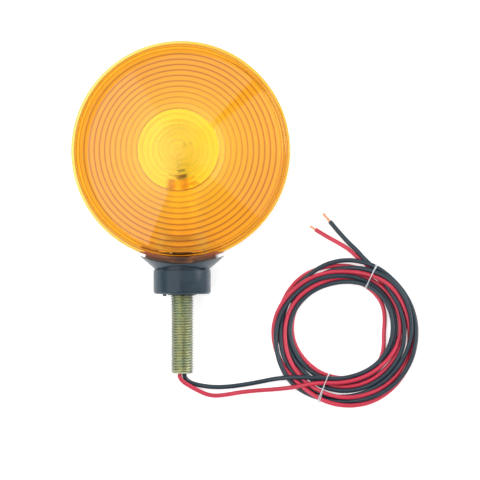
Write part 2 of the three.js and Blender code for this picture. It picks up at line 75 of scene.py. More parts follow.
JOINTS = {joint["name"]: joint for joint in frame["joints"]}
LAMP_Y = Vector(JOINTS["bulb_turn"]["axis"]).normalized()
LAMP_Z = Vector(JOINTS["lens_lift"]["axis"]).normalized()
LAMP_X = LAMP_Y.cross(LAMP_Z)
LAMP_ORIGIN = Vector(JOINTS["bulb_turn"]["pos_m"])
LAMP = Matrix.Translation(LAMP_ORIGIN) @ Matrix((LAMP_X, LAMP_Y, LAMP_Z)).transposed().to_4x4()
LAMP_FROM_MM = LAMP @ Matrix.Scale(MM, 4)
SURFACE_FROM_MM = Matrix.Scale(MM, 4)

GAP = 0.3                              # between two pieces that touch
STUD_RADIUS = 5.555
STUD_HOLE = STUD_RADIUS + GAP          # the hole of every piece that sits on the stud


def linked(name, data):
    """A new object in the scene."""
    made = bpy.data.objects.new(name, data)
    bpy.context.scene.collection.objects.link(made)
    return made


def reach(node):
    """Lowest and highest corner of a CAD node in the lamp frame, in millimetres."""
    back = LAMP_FROM_MM.inverted()
    points = np.array([back @ v.co for v in frame["nodes"][node].data.vertices])
    return Vector(points.min(0)), Vector(points.max(0))


# ---------------------------------------------------------------- camera

CAMERA_DISTANCE = 1.5
CAMERA_ASIDE = math.radians(4.4)       # turned from the lens axis towards the lamp's right
CAMERA_BELOW = math.radians(2.1)       # and towards the stud
VIEW_WIDTH = 0.23088                   # what the frame's width takes in at the lamp's distance
LAMP_LEFT_OF_MIDDLE = 0.02785
LAMP_ABOVE_MIDDLE = 0.0426
SENSOR = 36


def add_camera():
    """A camera on a long lens, with the lamp towards the upper left of its frame."""
    to_camera = LAMP @ Vector((
        math.sin(CAMERA_ASIDE) * math.cos(CAMERA_BELOW),
        -math.sin(CAMERA_BELOW),
        math.cos(CAMERA_ASIDE) * math.cos(CAMERA_BELOW),
    )) - LAMP_ORIGIN
    place = LAMP_ORIGIN + CAMERA_DISTANCE * to_camera
    right = (-to_camera).cross(LAMP_Y).normalized()
    up = right.cross(-to_camera)
    middle = LAMP_ORIGIN + LAMP_LEFT_OF_MIDDLE * right - LAMP_ABOVE_MIDDLE * up
    ahead = (middle - place).normalized()
    right = ahead.cross(LAMP_Y).normalized()
    up = right.cross(ahead)
    data = bpy.data.cameras.new("camera")
    data.sensor_width = SENSOR
    data.lens = SENSOR * CAMERA_DISTANCE / VIEW_WIDTH
    data.clip_start = 0.05
    data.clip_end = 50
    camera = linked("camera", data)
    turn = Matrix((right, up, -ahead)).transposed().to_4x4()
    camera.matrix_world = Matrix.Translation(place) @ turn
    bpy.context.scene.camera = camera


add_camera()

# ---------------------------------------------------------------- leads: routes and coil

RED_DIAMETER = 2.07
BLACK_DIAMETER = 2.2
RED_HEIGHT = RED_DIAMETER / 2
BLACK_HEIGHT = BLACK_DIAMETER / 2

# Routes from the stud's end to the coil, and from the coil to the bare ends, on the surface.
RED_ROUTE = [
    (-1.05, -78.7, 6.0), (-1.0, -80.2, 5.4), (0.4, -82.0, 4.4), (3.4, -83.9, 3.2), (7.6, -86.0, 2.0),
    (11.8, -87.7, 1.3), (15.6, -88.3, RED_HEIGHT), (20.6, -87.9, RED_HEIGHT), (27.8, -86.7, RED_HEIGHT),
    (36.0, -85.8, RED_HEIGHT), (44.4, -85.2, 1.3), (52.4, -84.6, 2.7),
]
BLACK_ROUTE = [
    (1.05, -78.4, 4.6), (1.2, -79.7, 3.9), (2.4, -81.2, 2.9), (5.2, -82.6, 1.8), (9.6, -83.5, BLACK_HEIGHT),
    (15.0, -84.1, BLACK_HEIGHT), (22.0, -83.9, BLACK_HEIGHT), (29.0, -83.0, BLACK_HEIGHT),
    (36.8, -81.6, BLACK_HEIGHT), (43.4, -80.4, 1.7), (48.2, -80.0, 2.9),
]
RED_TAIL = [
    (83.2, -19.6, 2.2), (79.8, -16.4, 1.5), (75.4, -13.4, RED_HEIGHT), (69.0, -9.7, RED_HEIGHT),
    (63.4, -6.2, RED_HEIGHT),
]
BLACK_TAIL = [
    (86.6, -20.6, 3.0), (83.6, -17.0, 2.2), (79.8, -13.1, 1.3), (75.4, -8.2, BLACK_HEIGHT),
    (70.4, -2.2, BLACK_HEIGHT),
]

COIL_CENTRE = (78.1, -57.2)
EIGHTH = 45                            # degrees between two stations of a turn
TURN_START = 270                       # a turn is counted from the side nearest the stud's end
LAYER = 1.9                            # a strand that lies on others is this much higher for each
COIL_STEP = 5                          # degrees between two points while the coil settles

# How far each turn lies from the coil's middle at every eighth of a turn, and on how many others.
# The way into the coil and the way out under it are (angle, radius, layer).
RED_IN = [(232, 33.0, 2.4), (240, 29.5, 2.9), (250, 26.8, 2.7), (260, 25.5, 2.1)]
RED_TURNS = [
    ([24.6, 23.8, 26.2, 28.2, 28.2, 27.2, 25.8, 23.7], [1.4, 1, 1, 1, 0, 0, 0, 0]),
    ([23.2, 22.2, 18.7, 23.3, 26.8, 28.3, 29.4, 30.9], [0, 0, 0, 0, 0, 1, 1, 1]),
    ([32.3, 32.6, 31.1, 30.8, 29.7, 31.7, 34.1, 33.7], [1, 1, 0.3, 1, 1, 1, 0.5, 0]),
    ([35.2, 34.8, 32.8, 32.4, 32.5, 33.8, 31.9, 28.3], [1, 0, 0, 0, 0, 0, 0, 0]),
    ([26.3, 26.5, 29.0], [0, 0, 0]),
]
RED_OUT = [(30, 29.8, 0), (45, 30.6, 0), (53, 31.2, 0), (61, 31.9, 0), (69, 33.4, 0), (76, 35.4, 0.4)]
BLACK_IN = [(222, 34.0, 2.0), (230, 29.9, 2.8), (240, 26.9, 2.7), (250, 24.8, 2.3), (260, 23.7, 1.9)]
BLACK_TURNS = [
    ([23.0, 22.2, 23.3, 25.1, 25.8, 26.7, 26.8, 25.6], [1.4, 1, 1, 1, 0, 1, 1, 1]),
    ([24.4, 24.0, 24.1, 26.2, 27.0, 29.2, 33.0, 33.8], [0, 0, 0, 0, 1, 1, 2, 0]),
    ([33.8, 35.0, 33.6, 33.5, 35.1, 32.7, 31.1, 32.9], [0, 1, 1, 1, 0, 0, 1, 1]),
    ([32.1, 30.4, 31.9, 32.8, 31.6, 29.1, 27.6, 27.4], [0, 0, 2, 2, 1, 0, 0, 0]),
    ([28.2, 28.6, 28.5], [0, 0, 1]),
]
BLACK_OUT = [(20, 29.0, 0.5), (38, 29.9, 0), (47, 30.2, 0), (56, 31.2, 0), (64, 32.8, 0), (71, 35.0, 0.4)]


def eased(stations, values, wanted):
    """Values between stations along a smooth curve that passes through every station."""
    slopes = np.gradient(values, stations)
    after = np.clip(np.searchsorted(stations, wanted, side="right"), 1, len(stations) - 1)
    before = after - 1
    gap = stations[after] - stations[before]
    t = (wanted - stations[before]) / gap
    return (
        values[before] * (1 + 2 * t) * (1 - t) ** 2
        + values[after] * t ** 2 * (3 - 2 * t)
        + gap * slopes[before] * t * (1 - t) ** 2
        - gap * slopes[after] * t ** 2 * (1 - t)
    )


def wound(way_in, turns, way_out, diameter):
    """A lead's run in the coil as angle, radius and height at every step, before it settles."""
    stations = list(way_in)
    for turn, (radii, layers) in enumerate(turns):
        for eighth, (radius, layer) in enumerate(zip(radii, layers)):
            stations.append((TURN_START + 360 * turn + EIGHTH * eighth, radius, layer))
    last_turn = 360 * len(turns)
    stations += [(angle + last_turn, radius, layer) for angle, radius, layer in way_out]
    angle, radius, layer = np.array(stations, float).T
    steps = np.arange(math.ceil(angle[0] / COIL_STEP), math.floor(angle[-1] / COIL_STEP) + 1)
    wanted = steps * COIL_STEP
    height = diameter / 2 + LAYER * np.clip(eased(angle, layer, wanted), 0, None)
    return {"step": steps, "radius": eased(angle, radius, wanted), "height": height, "half": diameter / 2}


SETTLE_ROUNDS = 260
LAST_ROUNDS = 30                       # rounds in which the strands are only moved apart
PUSH_SHARE = 0.25                      # of an overlap, how much each of the two strands gives way
PULL_BACK = 0.03                       # towards the radius that a strand was laid at
SINK = 0.015                           # downwards, in millimetres a round
STIFFNESS = 0.2


def settle(strands):
    """Strands that share a stretch of the coil are moved apart until they only touch, and sink to rest."""
    per_turn = 360 // COIL_STEP
    first = np.cumsum([0] + [len(s["step"]) for s in strands])
    bins = np.concatenate([s["step"] for s in strands]) % per_turn
    half = np.concatenate([np.full(len(s["step"]), s["half"]) for s in strands])
    wanted = np.concatenate([s["radius"] for s in strands])
    radius = wanted.copy()
    height = np.concatenate([s["height"] for s in strands])
    pairs = [(i, j) for i in range(len(bins)) for j in range(i + 1, len(bins)) if bins[i] == bins[j]]
    one, other = np.array(pairs).T
    for done in range(SETTLE_ROUNDS):
        across = radius[one] - radius[other]
        upwards = height[one] - height[other]
        apart = np.maximum(np.hypot(across, upwards), 1e-6)
        push = np.maximum(half[one] + half[other] - apart, 0) / apart * PUSH_SHARE
        for value, way in ((radius, across), (height, upwards)):
            np.add.at(value, one, push * way)
            np.add.at(value, other, -push * way)
        if done < SETTLE_ROUNDS - LAST_ROUNDS:
            radius += PULL_BACK * (wanted - radius)
            height -= SINK
        for a, b in zip(first, first[1:]):
            for value, base in ((radius, wanted), (height, 0 * wanted)):
                moved = (value - base)[a:b]
                moved[1:-1] += STIFFNESS * (moved[:-2] + moved[2:] - 2 * moved[1:-1])
                value[a:b] = base[a:b] + moved
        height = np.maximum(height, half)
    for strand, a, b in zip(strands, first, first[1:]):
        strand["radius"], strand["height"] = radius[a:b], height[a:b]


def on_coil(angle, radius, height):
    """A point of the coil in the object's own frame, in millimetres."""
    turn = math.radians(angle)
    return (COIL_CENTRE[0] + radius * math.cos(turn), COIL_CENTRE[1] + radius * math.sin(turn), height)


def coil_points(strand, every=2):
    """The coil's points, with 36 to the turn."""
    kept = range(1, len(strand["step"]) - 1, every)
    return [
        on_coil(COIL_STEP * strand["step"][i], strand["radius"][i], strand["height"][i]) for i in kept
    ]


red_coil = wound(RED_IN, RED_TURNS, RED_OUT, RED_DIAMETER)
black_coil = wound(BLACK_IN, BLACK_TURNS, BLACK_OUT, BLACK_DIAMETER)
settle([red_coil, black_coil])
RED_PATH = RED_ROUTE + coil_points(red_coil) + RED_TAIL
BLACK_PATH = BLACK_ROUTE + coil_points(black_coil) + BLACK_TAIL


def lead(name, path, diameter):
    """One open curve along the path, with the insulation's thickness."""
    data = bpy.data.curves.new(name, "CURVE")
    data.dimensions = "3D"
    data.resolution_u = 4
    data.bevel_depth = diameter / 2 * MM
    data.bevel_resolution = 5
    data.use_fill_caps = True
    spline = data.splines.new("BEZIER")
    spline.bezier_points.add(len(path) - 1)
    for point, place in zip(spline.bezier_points, path):
        point.co = Vector(place) * MM
        point.handle_left_type = point.handle_right_type = "AUTO"
    return linked(name, data)


red_lead = lead("red_wire", RED_PATH, RED_DIAMETER)
black_lead = lead("black_wire", BLACK_PATH, BLACK_DIAMETER)

# ---------------------------------------------------------------- node trees


def new_tree(name, kind, inputs, outputs):
    """An empty tree with its named inputs (label, type, default) and outputs (label, type)."""
    tree = bpy.data.node_groups.new(name, kind)
    for label, socket_type, default in inputs:
        made = tree.interface.new_socket(label, in_out="INPUT", socket_type=socket_type)
        if default is not None:
            made.default_value = default
    for label, socket_type in outputs:
        tree.interface.new_socket(label, in_out="OUTPUT", socket_type=socket_type)
    start = tree.nodes.new("NodeGroupInput").outputs
    end = tree.nodes.new("NodeGroupOutput").inputs
    return tree, start, end


def plug(tree, socket, value):
    """Sets an input, or links it if the value is a socket."""
    if isinstance(value, bpy.types.NodeSocket):
        tree.links.new(value, socket)
    else:
        socket.default_value = value


def node(tree, kind, inputs=None, **settings):
    """A node with its settings, and its inputs given as values or as sockets to link."""
    made = tree.nodes.new(kind)
    for key, value in settings.items():
        setattr(made, key, value)
    for key, value in (inputs or {}).items():
        plug(tree, made.inputs[key], value)
    return made


def calc(tree, operation, a, b=0.0, c=0.0):
    """The output of a Math node."""
    inputs = {0: a, 1: b}
    if operation == "MULTIPLY_ADD":
        inputs[2] = c
    return node(tree, "ShaderNodeMath", inputs, operation=operation).outputs[0]


def vector_calc(tree, operation, a, b=(0, 0, 0)):
    """The output of a Vector Math node."""
    made = node(tree, "ShaderNodeVectorMath", {0: a}, operation=operation)
    plug(tree, made.inputs["Scale" if operation == "SCALE" else 1], b)
    return made.outputs["Value" if operation == "DOT_PRODUCT" else "Vector"]


def product(tree, first, *others):
    """The first value times each of the others."""
    result = first
    for other in others:
        result = calc(tree, "MULTIPLY", result, other)
    return result


def attribute(tree, name):
    """A float attribute of the carrier's points."""
    return node(tree, "GeometryNodeInputNamedAttribute", {"Name": name}, data_type="FLOAT").outputs[0]


def humped(tree, share):
    """0 at both ends of a share from 0 to 1, and 1 in its middle."""
    return product(tree, share, calc(tree, "SUBTRACT", 1.0, share), 4.0)


def finish_tree(tree, end, geometry, material):
    """Every tree ends with real geometry and its material."""
    real = node(tree, "GeometryNodeRealizeInstances", {"Geometry": geometry})
    painted = node(tree, "GeometryNodeSetMaterial", {"Geometry": real.outputs[0], "Material": material})
    tree.links.new(painted.outputs[0], end[0])
    return tree


GEOMETRY = ("Geometry", "NodeSocketGeometry", None)
MATERIAL = ("Material", "NodeSocketMaterial", None)
MADE = [("Geometry", "NodeSocketGeometry")]


THREAD_FLAT = 0.15                     # flat at a thread's crest and root, as a share of its depth
JOINED = 0.0002                        # points closer than this, in millimetres, become one
DOUBLED = 0.0005                       # and so do two seams that meet within this


def turning_tree():
    """Turns the carrier's profile (X radius, Y height) about Z, and cuts a thread where it is marked."""
    tree, start, end = new_tree("turned", "GeometryNodeTree", [
        GEOMETRY, ("Segments", "NodeSocketInt", 64), ("Crest Radius", "NodeSocketFloat", 0.0),
        ("Thread Pitch", "NodeSocketFloat", 1.0), ("Thread Depth", "NodeSocketFloat", 0.0), MATERIAL,
    ], MADE)
    size = node(tree, "GeometryNodeAttributeDomainSize", {"Geometry": start["Geometry"]}, component="MESH")
    count = size.outputs["Point Count"]
    columns = calc(tree, "ADD", start["Segments"], 1.0)
    grid = node(tree, "GeometryNodeMeshGrid", {"Vertices X": columns, "Vertices Y": count})
    index = node(tree, "GeometryNodeInputIndex").outputs[0]
    column = calc(tree, "FLOOR", calc(tree, "DIVIDE", calc(tree, "ADD", index, 0.5), count))
    row = calc(tree, "SUBTRACT", index, calc(tree, "MULTIPLY", column, count))
    turn = calc(tree, "DIVIDE", column, start["Segments"])
    place = node(tree, "GeometryNodeInputPosition").outputs[0]
    found = node(tree, "GeometryNodeSampleIndex", {
        "Geometry": start["Geometry"], "Value": place, "Index": row,
    }, data_type="FLOAT_VECTOR")
    marked = node(tree, "GeometryNodeSampleIndex", {
        "Geometry": start["Geometry"], "Value": attribute(tree, "threaded"), "Index": row,
    }, data_type="FLOAT")
    profile = node(tree, "ShaderNodeSeparateXYZ", {0: found.outputs[0]}).outputs
    along = calc(tree, "DIVIDE", profile["Y"], start["Thread Pitch"])
    phase = calc(tree, "FRACT", calc(tree, "ADD", calc(tree, "SUBTRACT", along, turn), 1000.0))
    vee = calc(tree, "ABSOLUTE", calc(tree, "SUBTRACT", calc(tree, "MULTIPLY", phase, 2.0), 1.0))
    vee = calc(tree, "MULTIPLY_ADD", vee, 1 + 2 * THREAD_FLAT, -THREAD_FLAT)
    vee = calc(tree, "MINIMUM", calc(tree, "MAXIMUM", vee, 0.0), 1.0)
    flank = calc(tree, "SUBTRACT", start["Crest Radius"], product(tree, vee, start["Thread Depth"]))
    cut = calc(tree, "MINIMUM", profile["X"], flank)
    removed = calc(tree, "MULTIPLY", marked.outputs[0], calc(tree, "SUBTRACT", profile["X"], cut))
    radius = calc(tree, "SUBTRACT", profile["X"], removed)
    angle = calc(tree, "MULTIPLY", turn, math.tau)
    spot = node(tree, "ShaderNodeCombineXYZ", {
        0: calc(tree, "MULTIPLY", radius, calc(tree, "COSINE", angle)),
        1: calc(tree, "MULTIPLY", radius, calc(tree, "SINE", angle)),
        2: profile["Y"],
    })
    moved = node(tree, "GeometryNodeSetPosition", {"Geometry": grid.outputs[0], "Position": spot.outputs[0]})
    merged = node(tree, "GeometryNodeMergeByDistance", {"Geometry": moved.outputs[0], "Distance": JOINED})
    return finish_tree(tree, end, merged.outputs[0], start["Material"])


def prism_tree():
    """Steps the marked points of a lens profile into concentric prisms, each with a rounded face."""
    tree, start, end = new_tree("prism_rings", "GeometryNodeTree", [
        GEOMETRY, ("First Ring", "NodeSocketFloat", 0.0), ("Pitch", "NodeSocketFloat", 1.0),
        ("Step", "NodeSocketFloat", 0.3), ("Bulge", "NodeSocketFloat", 0.1), MATERIAL,
    ], MADE)
    place = node(tree, "GeometryNodeInputPosition").outputs[0]
    radius = node(tree, "ShaderNodeSeparateXYZ", {0: place}).outputs["X"]
    rings = calc(tree, "DIVIDE", calc(tree, "SUBTRACT", radius, start["First Ring"]), start["Pitch"])
    phase = calc(tree, "FRACT", rings)
    bulge = product(tree, start["Bulge"], humped(tree, phase))
    depth = calc(tree, "ADD", product(tree, start["Step"], phase), bulge)
    lowered = product(tree, depth, attribute(tree, "ringed"), -1.0)
    drop = node(tree, "ShaderNodeCombineXYZ", {1: lowered})
    moved = node(tree, "GeometryNodeSetPosition", {"Geometry": start["Geometry"], "Offset": drop.outputs[0]})
    return finish_tree(tree, end, moved.outputs[0], start["Material"])


def drawn_wire(tree, path, start, sides):
    """Round wire with closed ends along curves."""
    ring = node(tree, "GeometryNodeCurvePrimitiveCircle", {
        "Resolution": sides, "Radius": start["Wire Radius"],
    })
    wire = node(tree, "GeometryNodeCurveToMesh", {
        "Curve": path.outputs[0], "Profile Curve": ring.outputs[0], "Fill Caps": True,
    })
    return wire.outputs[0]


def winding_tree():
    """A wire wound along Z, bowed sideways if it sags."""
    tree, start, end = new_tree("wound_wire", "GeometryNodeTree", [
        GEOMETRY, ("Turns", "NodeSocketFloat", 3.0), ("Radius", "NodeSocketFloat", 5.0),
        ("Length", "NodeSocketFloat", 5.0), ("Wire Radius", "NodeSocketFloat", 0.3),
        ("Sag", "NodeSocketFloat", 0.0), ("Points per Turn", "NodeSocketInt", 32), MATERIAL,
    ], MADE)
    spiral = node(tree, "GeometryNodeCurveSpiral", {
        "Resolution": start["Points per Turn"], "Rotations": start["Turns"], "Start Radius": start["Radius"],
        "End Radius": start["Radius"], "Height": start["Length"],
    })
    place = node(tree, "GeometryNodeInputPosition").outputs[0]
    height = node(tree, "ShaderNodeSeparateXYZ", {0: place}).outputs["Z"]
    bow = humped(tree, calc(tree, "DIVIDE", height, start["Length"]))
    offset = node(tree, "ShaderNodeCombineXYZ", {0: product(tree, bow, start["Sag"])})
    moved = node(tree, "GeometryNodeSetPosition", {
        "Geometry": spiral.outputs[0], "Offset": offset.outputs[0],
    })
    return finish_tree(tree, end, drawn_wire(tree, moved, start, 12), start["Material"])


def strand_tree():
    """Several thin wires twisted along the carrier's path, round one straight core if asked for."""
    tree, start, end = new_tree("twisted_strands", "GeometryNodeTree", [
        GEOMETRY, ("Count", "NodeSocketInt", 7), ("Core", "NodeSocketInt", 1),
        ("Lay Radius", "NodeSocketFloat", 0.3), ("Wire Radius", "NodeSocketFloat", 0.12),
        ("Twist", "NodeSocketFloat", 1.0), ("Spacing", "NodeSocketFloat", 0.25), MATERIAL,
    ], MADE)
    path = node(tree, "GeometryNodeMeshToCurve", {"Mesh": start["Geometry"]})
    even = node(tree, "GeometryNodeResampleCurve", {
        "Curve": path.outputs[0], "Length": start["Spacing"],
    }, mode="LENGTH")
    many = node(tree, "GeometryNodeDuplicateElements", {
        "Geometry": even.outputs[0], "Amount": start["Count"],
    }, domain="SPLINE")
    which = many.outputs["Duplicate Index"]
    outside = calc(tree, "GREATER_THAN", which, calc(tree, "SUBTRACT", start["Core"], 0.5))
    travelled = node(tree, "GeometryNodeSplineParameter").outputs["Length"]
    place_in_ring = calc(tree, "DIVIDE", which, calc(tree, "SUBTRACT", start["Count"], start["Core"]))
    twisted = product(tree, travelled, start["Twist"])
    angle = product(tree, calc(tree, "ADD", place_in_ring, twisted), math.tau)
    normal = node(tree, "GeometryNodeInputNormal").outputs[0]
    tangent = node(tree, "GeometryNodeInputTangent").outputs[0]
    side = vector_calc(tree, "CROSS_PRODUCT", tangent, normal)
    along_normal = vector_calc(tree, "SCALE", normal, calc(tree, "COSINE", angle))
    along_side = vector_calc(tree, "SCALE", side, calc(tree, "SINE", angle))
    away = vector_calc(tree, "ADD", along_normal, along_side)
    offset = vector_calc(tree, "SCALE", away, product(tree, outside, start["Lay Radius"]))
    moved = node(tree, "GeometryNodeSetPosition", {"Geometry": many.outputs[0], "Offset": offset})
    return finish_tree(tree, end, drawn_wire(tree, moved, start, 10), start["Material"])


TURNED = turning_tree()
PRISMS = prism_tree()
WOUND = winding_tree()
STRANDS = strand_tree()


def realise(mesh, *stages):
    """The mesh that a stack of node trees makes from a carrier mesh. A stage is a tree and its inputs."""
    carrier = linked("carrier", mesh)
    for tree, values in stages:
        modifier = carrier.modifiers.new(tree.name, "NODES")
        modifier.node_group = tree
        for item in tree.interface.items_tree:
            if item.in_out == "INPUT" and item.name in values:
                modifier[item.identifier] = values[item.name]
    graph = bpy.context.evaluated_depsgraph_get()
    made = bpy.data.meshes.new_from_object(carrier.evaluated_get(graph))
    carrier.modifiers.clear()
    bpy.data.objects.remove(carrier)
    bpy.data.meshes.remove(mesh)
    return made


def polyline(points, **marks):
    """A carrier mesh with its points in a row; marks are float attributes on them."""
    mesh = bpy.data.meshes.new("path")
    spots = [tuple(point) + (0,) * (3 - len(point)) for point in points]
    mesh.from_pydata(spots, [(i, i + 1) for i in range(len(spots) - 1)], [])
    for name, values in marks.items():
        attribute = mesh.attributes.new(name, "FLOAT", "POINT")
        attribute.data.foreach_set("value", [float(value) for value in values])
    return mesh


def rounded(corners, steps=4):
    """A profile from (radius, height, corner size) triples, with each corner eased over its size."""
    points = []
    for i, (radius, height, size) in enumerate(corners):
        here = Vector((radius, height))
        if not size:
            points.append((radius, height))
            continue
        before = Vector(corners[i - 1][:2]) - here
        after = Vector(corners[(i + 1) % len(corners)][:2]) - here
        first = here + before.normalized() * size
        last = here + after.normalized() * size
        for step in range(steps + 1):
            t = step / steps
            points.append(tuple((1 - t) ** 2 * first + 2 * t * (1 - t) * here + t ** 2 * last))
    return points


def looped(points):
    """A closed profile, which ends where it begins."""
    return points + points[:1]


def ring_profile(inside, outside, bottom, top, corner=0.15):
    """The profile of a ring with eased corners."""
    return looped(rounded([
        (inside, bottom, corner), (outside, bottom, corner), (outside, top, corner), (inside, top, corner),
    ]))


def disc_profile(radius, bottom, top, corner=0.15):
    """The profile of a disc or a rod with eased corners."""
    return rounded([(0, bottom, 0), (radius, bottom, corner), (radius, top, corner), (0, top, 0)])


def arc(centre, radius, from_degrees, to_degrees, steps):
    """Points of an arc round a centre."""
    points = []
    for step in range(steps + 1):
        angle = math.radians(from_degrees + (to_degrees - from_degrees) * step / steps)
        points.append((centre[0] + radius * math.cos(angle), centre[1] + radius * math.sin(angle)))
    return points


Y_AXIS = Matrix.Rotation(math.radians(-90), 4, "X")     # a piece turned about Z then stands along Y


def turn_mesh(profile, material, segments=64):
    """A turned solid about the stud's axis in the lamp frame."""
    mesh = realise(polyline(profile), (TURNED, {"Segments": segments, "Material": material}))
    mesh.transform(Y_AXIS)
    return tidy_mesh(mesh)


def drill(radius, bottom, top, material, segments=48):
    """A plain rod about the stud's axis, to cut a hole with."""
    return turn_mesh([(0, bottom), (radius, bottom), (radius, top), (0, top)], material, segments)


def tidy_mesh(mesh):
    """Joins doubled points and turns every face outwards."""
    work = bmesh.new()
    work.from_mesh(mesh)
    bmesh.ops.remove_doubles(work, verts=work.verts, dist=DOUBLED)
    bmesh.ops.dissolve_degenerate(work, dist=JOINED, edges=work.edges)
    bmesh.ops.recalc_face_normals(work, faces=work.faces)
    work.to_mesh(mesh)
    work.free()
    return mesh


def box_mesh(low, high):
    """A box from its lowest corner to its highest."""
    mesh = bpy.data.meshes.new("box")
    work = bmesh.new()
    bmesh.ops.create_cube(work, size=1)
    size = Vector(high) - Vector(low)
    middle = (Vector(high) + Vector(low)) / 2
    place = Matrix.Translation(middle) @ Matrix.Diagonal(size).to_4x4()
    bmesh.ops.transform(work, matrix=place, verts=work.verts)
    work.to_mesh(mesh)
    work.free()
    return mesh


def prism_mesh(outline, low, high):
    """A closed outline raised from one height to another along Z."""
    mesh = bpy.data.meshes.new("prism")
    count = len(outline)
    points = [(x, y, z) for z in (low, high) for x, y in outline]
    sides = [(i, (i + 1) % count, count + (i + 1) % count, count + i) for i in range(count)]
    mesh.from_pydata(points, [], sides + [tuple(range(count))[::-1], tuple(range(count, 2 * count))])
    return tidy_mesh(mesh)


SHARP_EDGE = 40                        # degrees at which an edge is rounded


def carve(mesh, *cuts, bevel=0.0):
    """The mesh after booleans with other meshes, then with its sharp edges rounded."""
    body = linked("body", mesh)
    tools = []
    for operation, other in cuts:
        tool = linked("tool", other)
        tools.append(tool)
        modifier = body.modifiers.new(operation, "BOOLEAN")
        modifier.operation = operation
        modifier.solver = "EXACT"
        modifier.object = tool
    if bevel:
        modifier = body.modifiers.new("rounding", "BEVEL")
        modifier.width = bevel
        modifier.segments = 2
        modifier.limit_method = "ANGLE"
        modifier.angle_limit = math.radians(SHARP_EDGE)
        modifier.use_clamp_overlap = True
    graph = bpy.context.evaluated_depsgraph_get()
    made = bpy.data.meshes.new_from_object(body.evaluated_get(graph))
    body.modifiers.clear()
    for made_object in [body] + tools:
        bpy.data.objects.remove(made_object)
    return made


def add_piece(name, mesh, body, material, nodes=(), place=LAMP_FROM_MM, sharp=32):
    """A finished piece in the object's own frame, riding its body and standing for its CAD nodes."""
    mesh.name = name
    tidy_mesh(mesh)
    mesh.transform(place)
    mesh.materials.clear()
    mesh.materials.append(material)
    mesh.polygons.foreach_set("material_index", [0] * len(mesh.polygons))
    mesh.polygons.foreach_set("use_smooth", [True] * len(mesh.polygons))
    mesh.set_sharp_from_angle(angle=math.radians(sharp))
    made = linked(name, mesh)
    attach(made, body)
    if nodes:
        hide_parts(*nodes)
    return made


# ---------------------------------------------------------------- shared shader groups

DOME_HEIGHT = 27.5
DOME_RADIUS = 93.4
RING_FROM, RING_PITCH = 19.5, 2.6      # the ringed prisms inside a lens
EYE_PITCH = 2.4                        # the bull's-eye in the window has shallower rings
RIM_RADIUS = 50.9                      # the flat rim and the skirt begin here
FOOT_BELOW = 48.2                      # how far below the lens's middle its foot begins
RIM_SHADE_LINES = ((50.8, 0.35, 0.9), (49.5, 0.7, 0.55))     # radius, half width and strength of its painted shade lines


def object_coords(tree):
    """A place on the piece, in metres in the object's own frame."""
    return node(tree, "ShaderNodeTexCoord").outputs["Object"]


def noise(tree, place, scale, detail=3.0, roughness=0.5):
    """Soft random values from 0 to 1."""
    made = node(tree, "ShaderNodeTexNoise", {
        "Vector": place, "Scale": scale, "Detail": detail, "Roughness": roughness,
    })
    return made.outputs[0]


def ramp(tree, value, low, high, to_low=0.0, to_high=1.0):
    """The value mapped from one range to another, smoothly, and kept inside it."""
    made = node(tree, "ShaderNodeMapRange", {0: value, 1: low, 2: high, 3: to_low, 4: to_high},
                interpolation_type="SMOOTHSTEP")
    return made.outputs[0]


def per_metre(tree, size):
    """A noise scale from a size in millimetres."""
    return calc(tree, "DIVIDE", 1000.0, size)


def grain_group():
    """The fine unevenness of a moulded or drawn surface; size and depth in millimetres."""
    tree, start, end = new_tree("moulded_grain", "ShaderNodeTree", [
        ("Size", "NodeSocketFloat", 0.3), ("Depth", "NodeSocketFloat", 0.02),
    ], [("Normal", "NodeSocketVector")])
    fine = noise(tree, object_coords(tree), per_metre(tree, start["Size"]), 4.0, 0.6)
    bump = node(tree, "ShaderNodeBump", {
        "Height": fine, "Strength": 1.0, "Distance": product(tree, start["Depth"], MM),
    })
    tree.links.new(bump.outputs[0], end["Normal"])
    return tree


def cloud_group():
    """Broad, soft patches for a finish of two tones."""
    tree, start, end = new_tree("clouding", "ShaderNodeTree", [
        ("Size", "NodeSocketFloat", 8.0), ("Softness", "NodeSocketFloat", 0.15),
    ], [("Mask", "NodeSocketFloat")])
    broad = noise(tree, object_coords(tree), per_metre(tree, start["Size"]), 4.0, 0.55)
    low = calc(tree, "SUBTRACT", 0.5, start["Softness"])     # a noise is 0.5 on average
    high = calc(tree, "ADD", 0.5, start["Softness"])
    tree.links.new(ramp(tree, broad, low, high), end["Mask"])
    return tree


SCUFF_TURN = (0.3, 0.5, 0.7)
SCUFF_STRETCH = (9.0, 1.0, 5.0)


def scuff_group():
    """Short, fine scratches that lie one way, in some places only."""
    tree, start, end = new_tree("scuffs", "ShaderNodeTree", [
        ("Size", "NodeSocketFloat", 3.0), ("Amount", "NodeSocketFloat", 0.5),
    ], [("Mask", "NodeSocketFloat")])
    stretched = node(tree, "ShaderNodeMapping", {
        "Vector": object_coords(tree), "Rotation": SCUFF_TURN, "Scale": SCUFF_STRETCH,
    }).outputs[0]
    lines = ramp(tree, noise(tree, stretched, per_metre(tree, start["Size"]), 2.0, 0.7), 0.62, 0.72)
    patches = ramp(tree, noise(tree, object_coords(tree), 90.0, 2.0), 0.45, 0.65)
    tree.links.new(product(tree, lines, patches, start["Amount"]), end["Mask"])
    return tree


SPECK_SCALE, FILM_SCALE = 1600.0, 60.0
SPECK_SHARE = 0.6


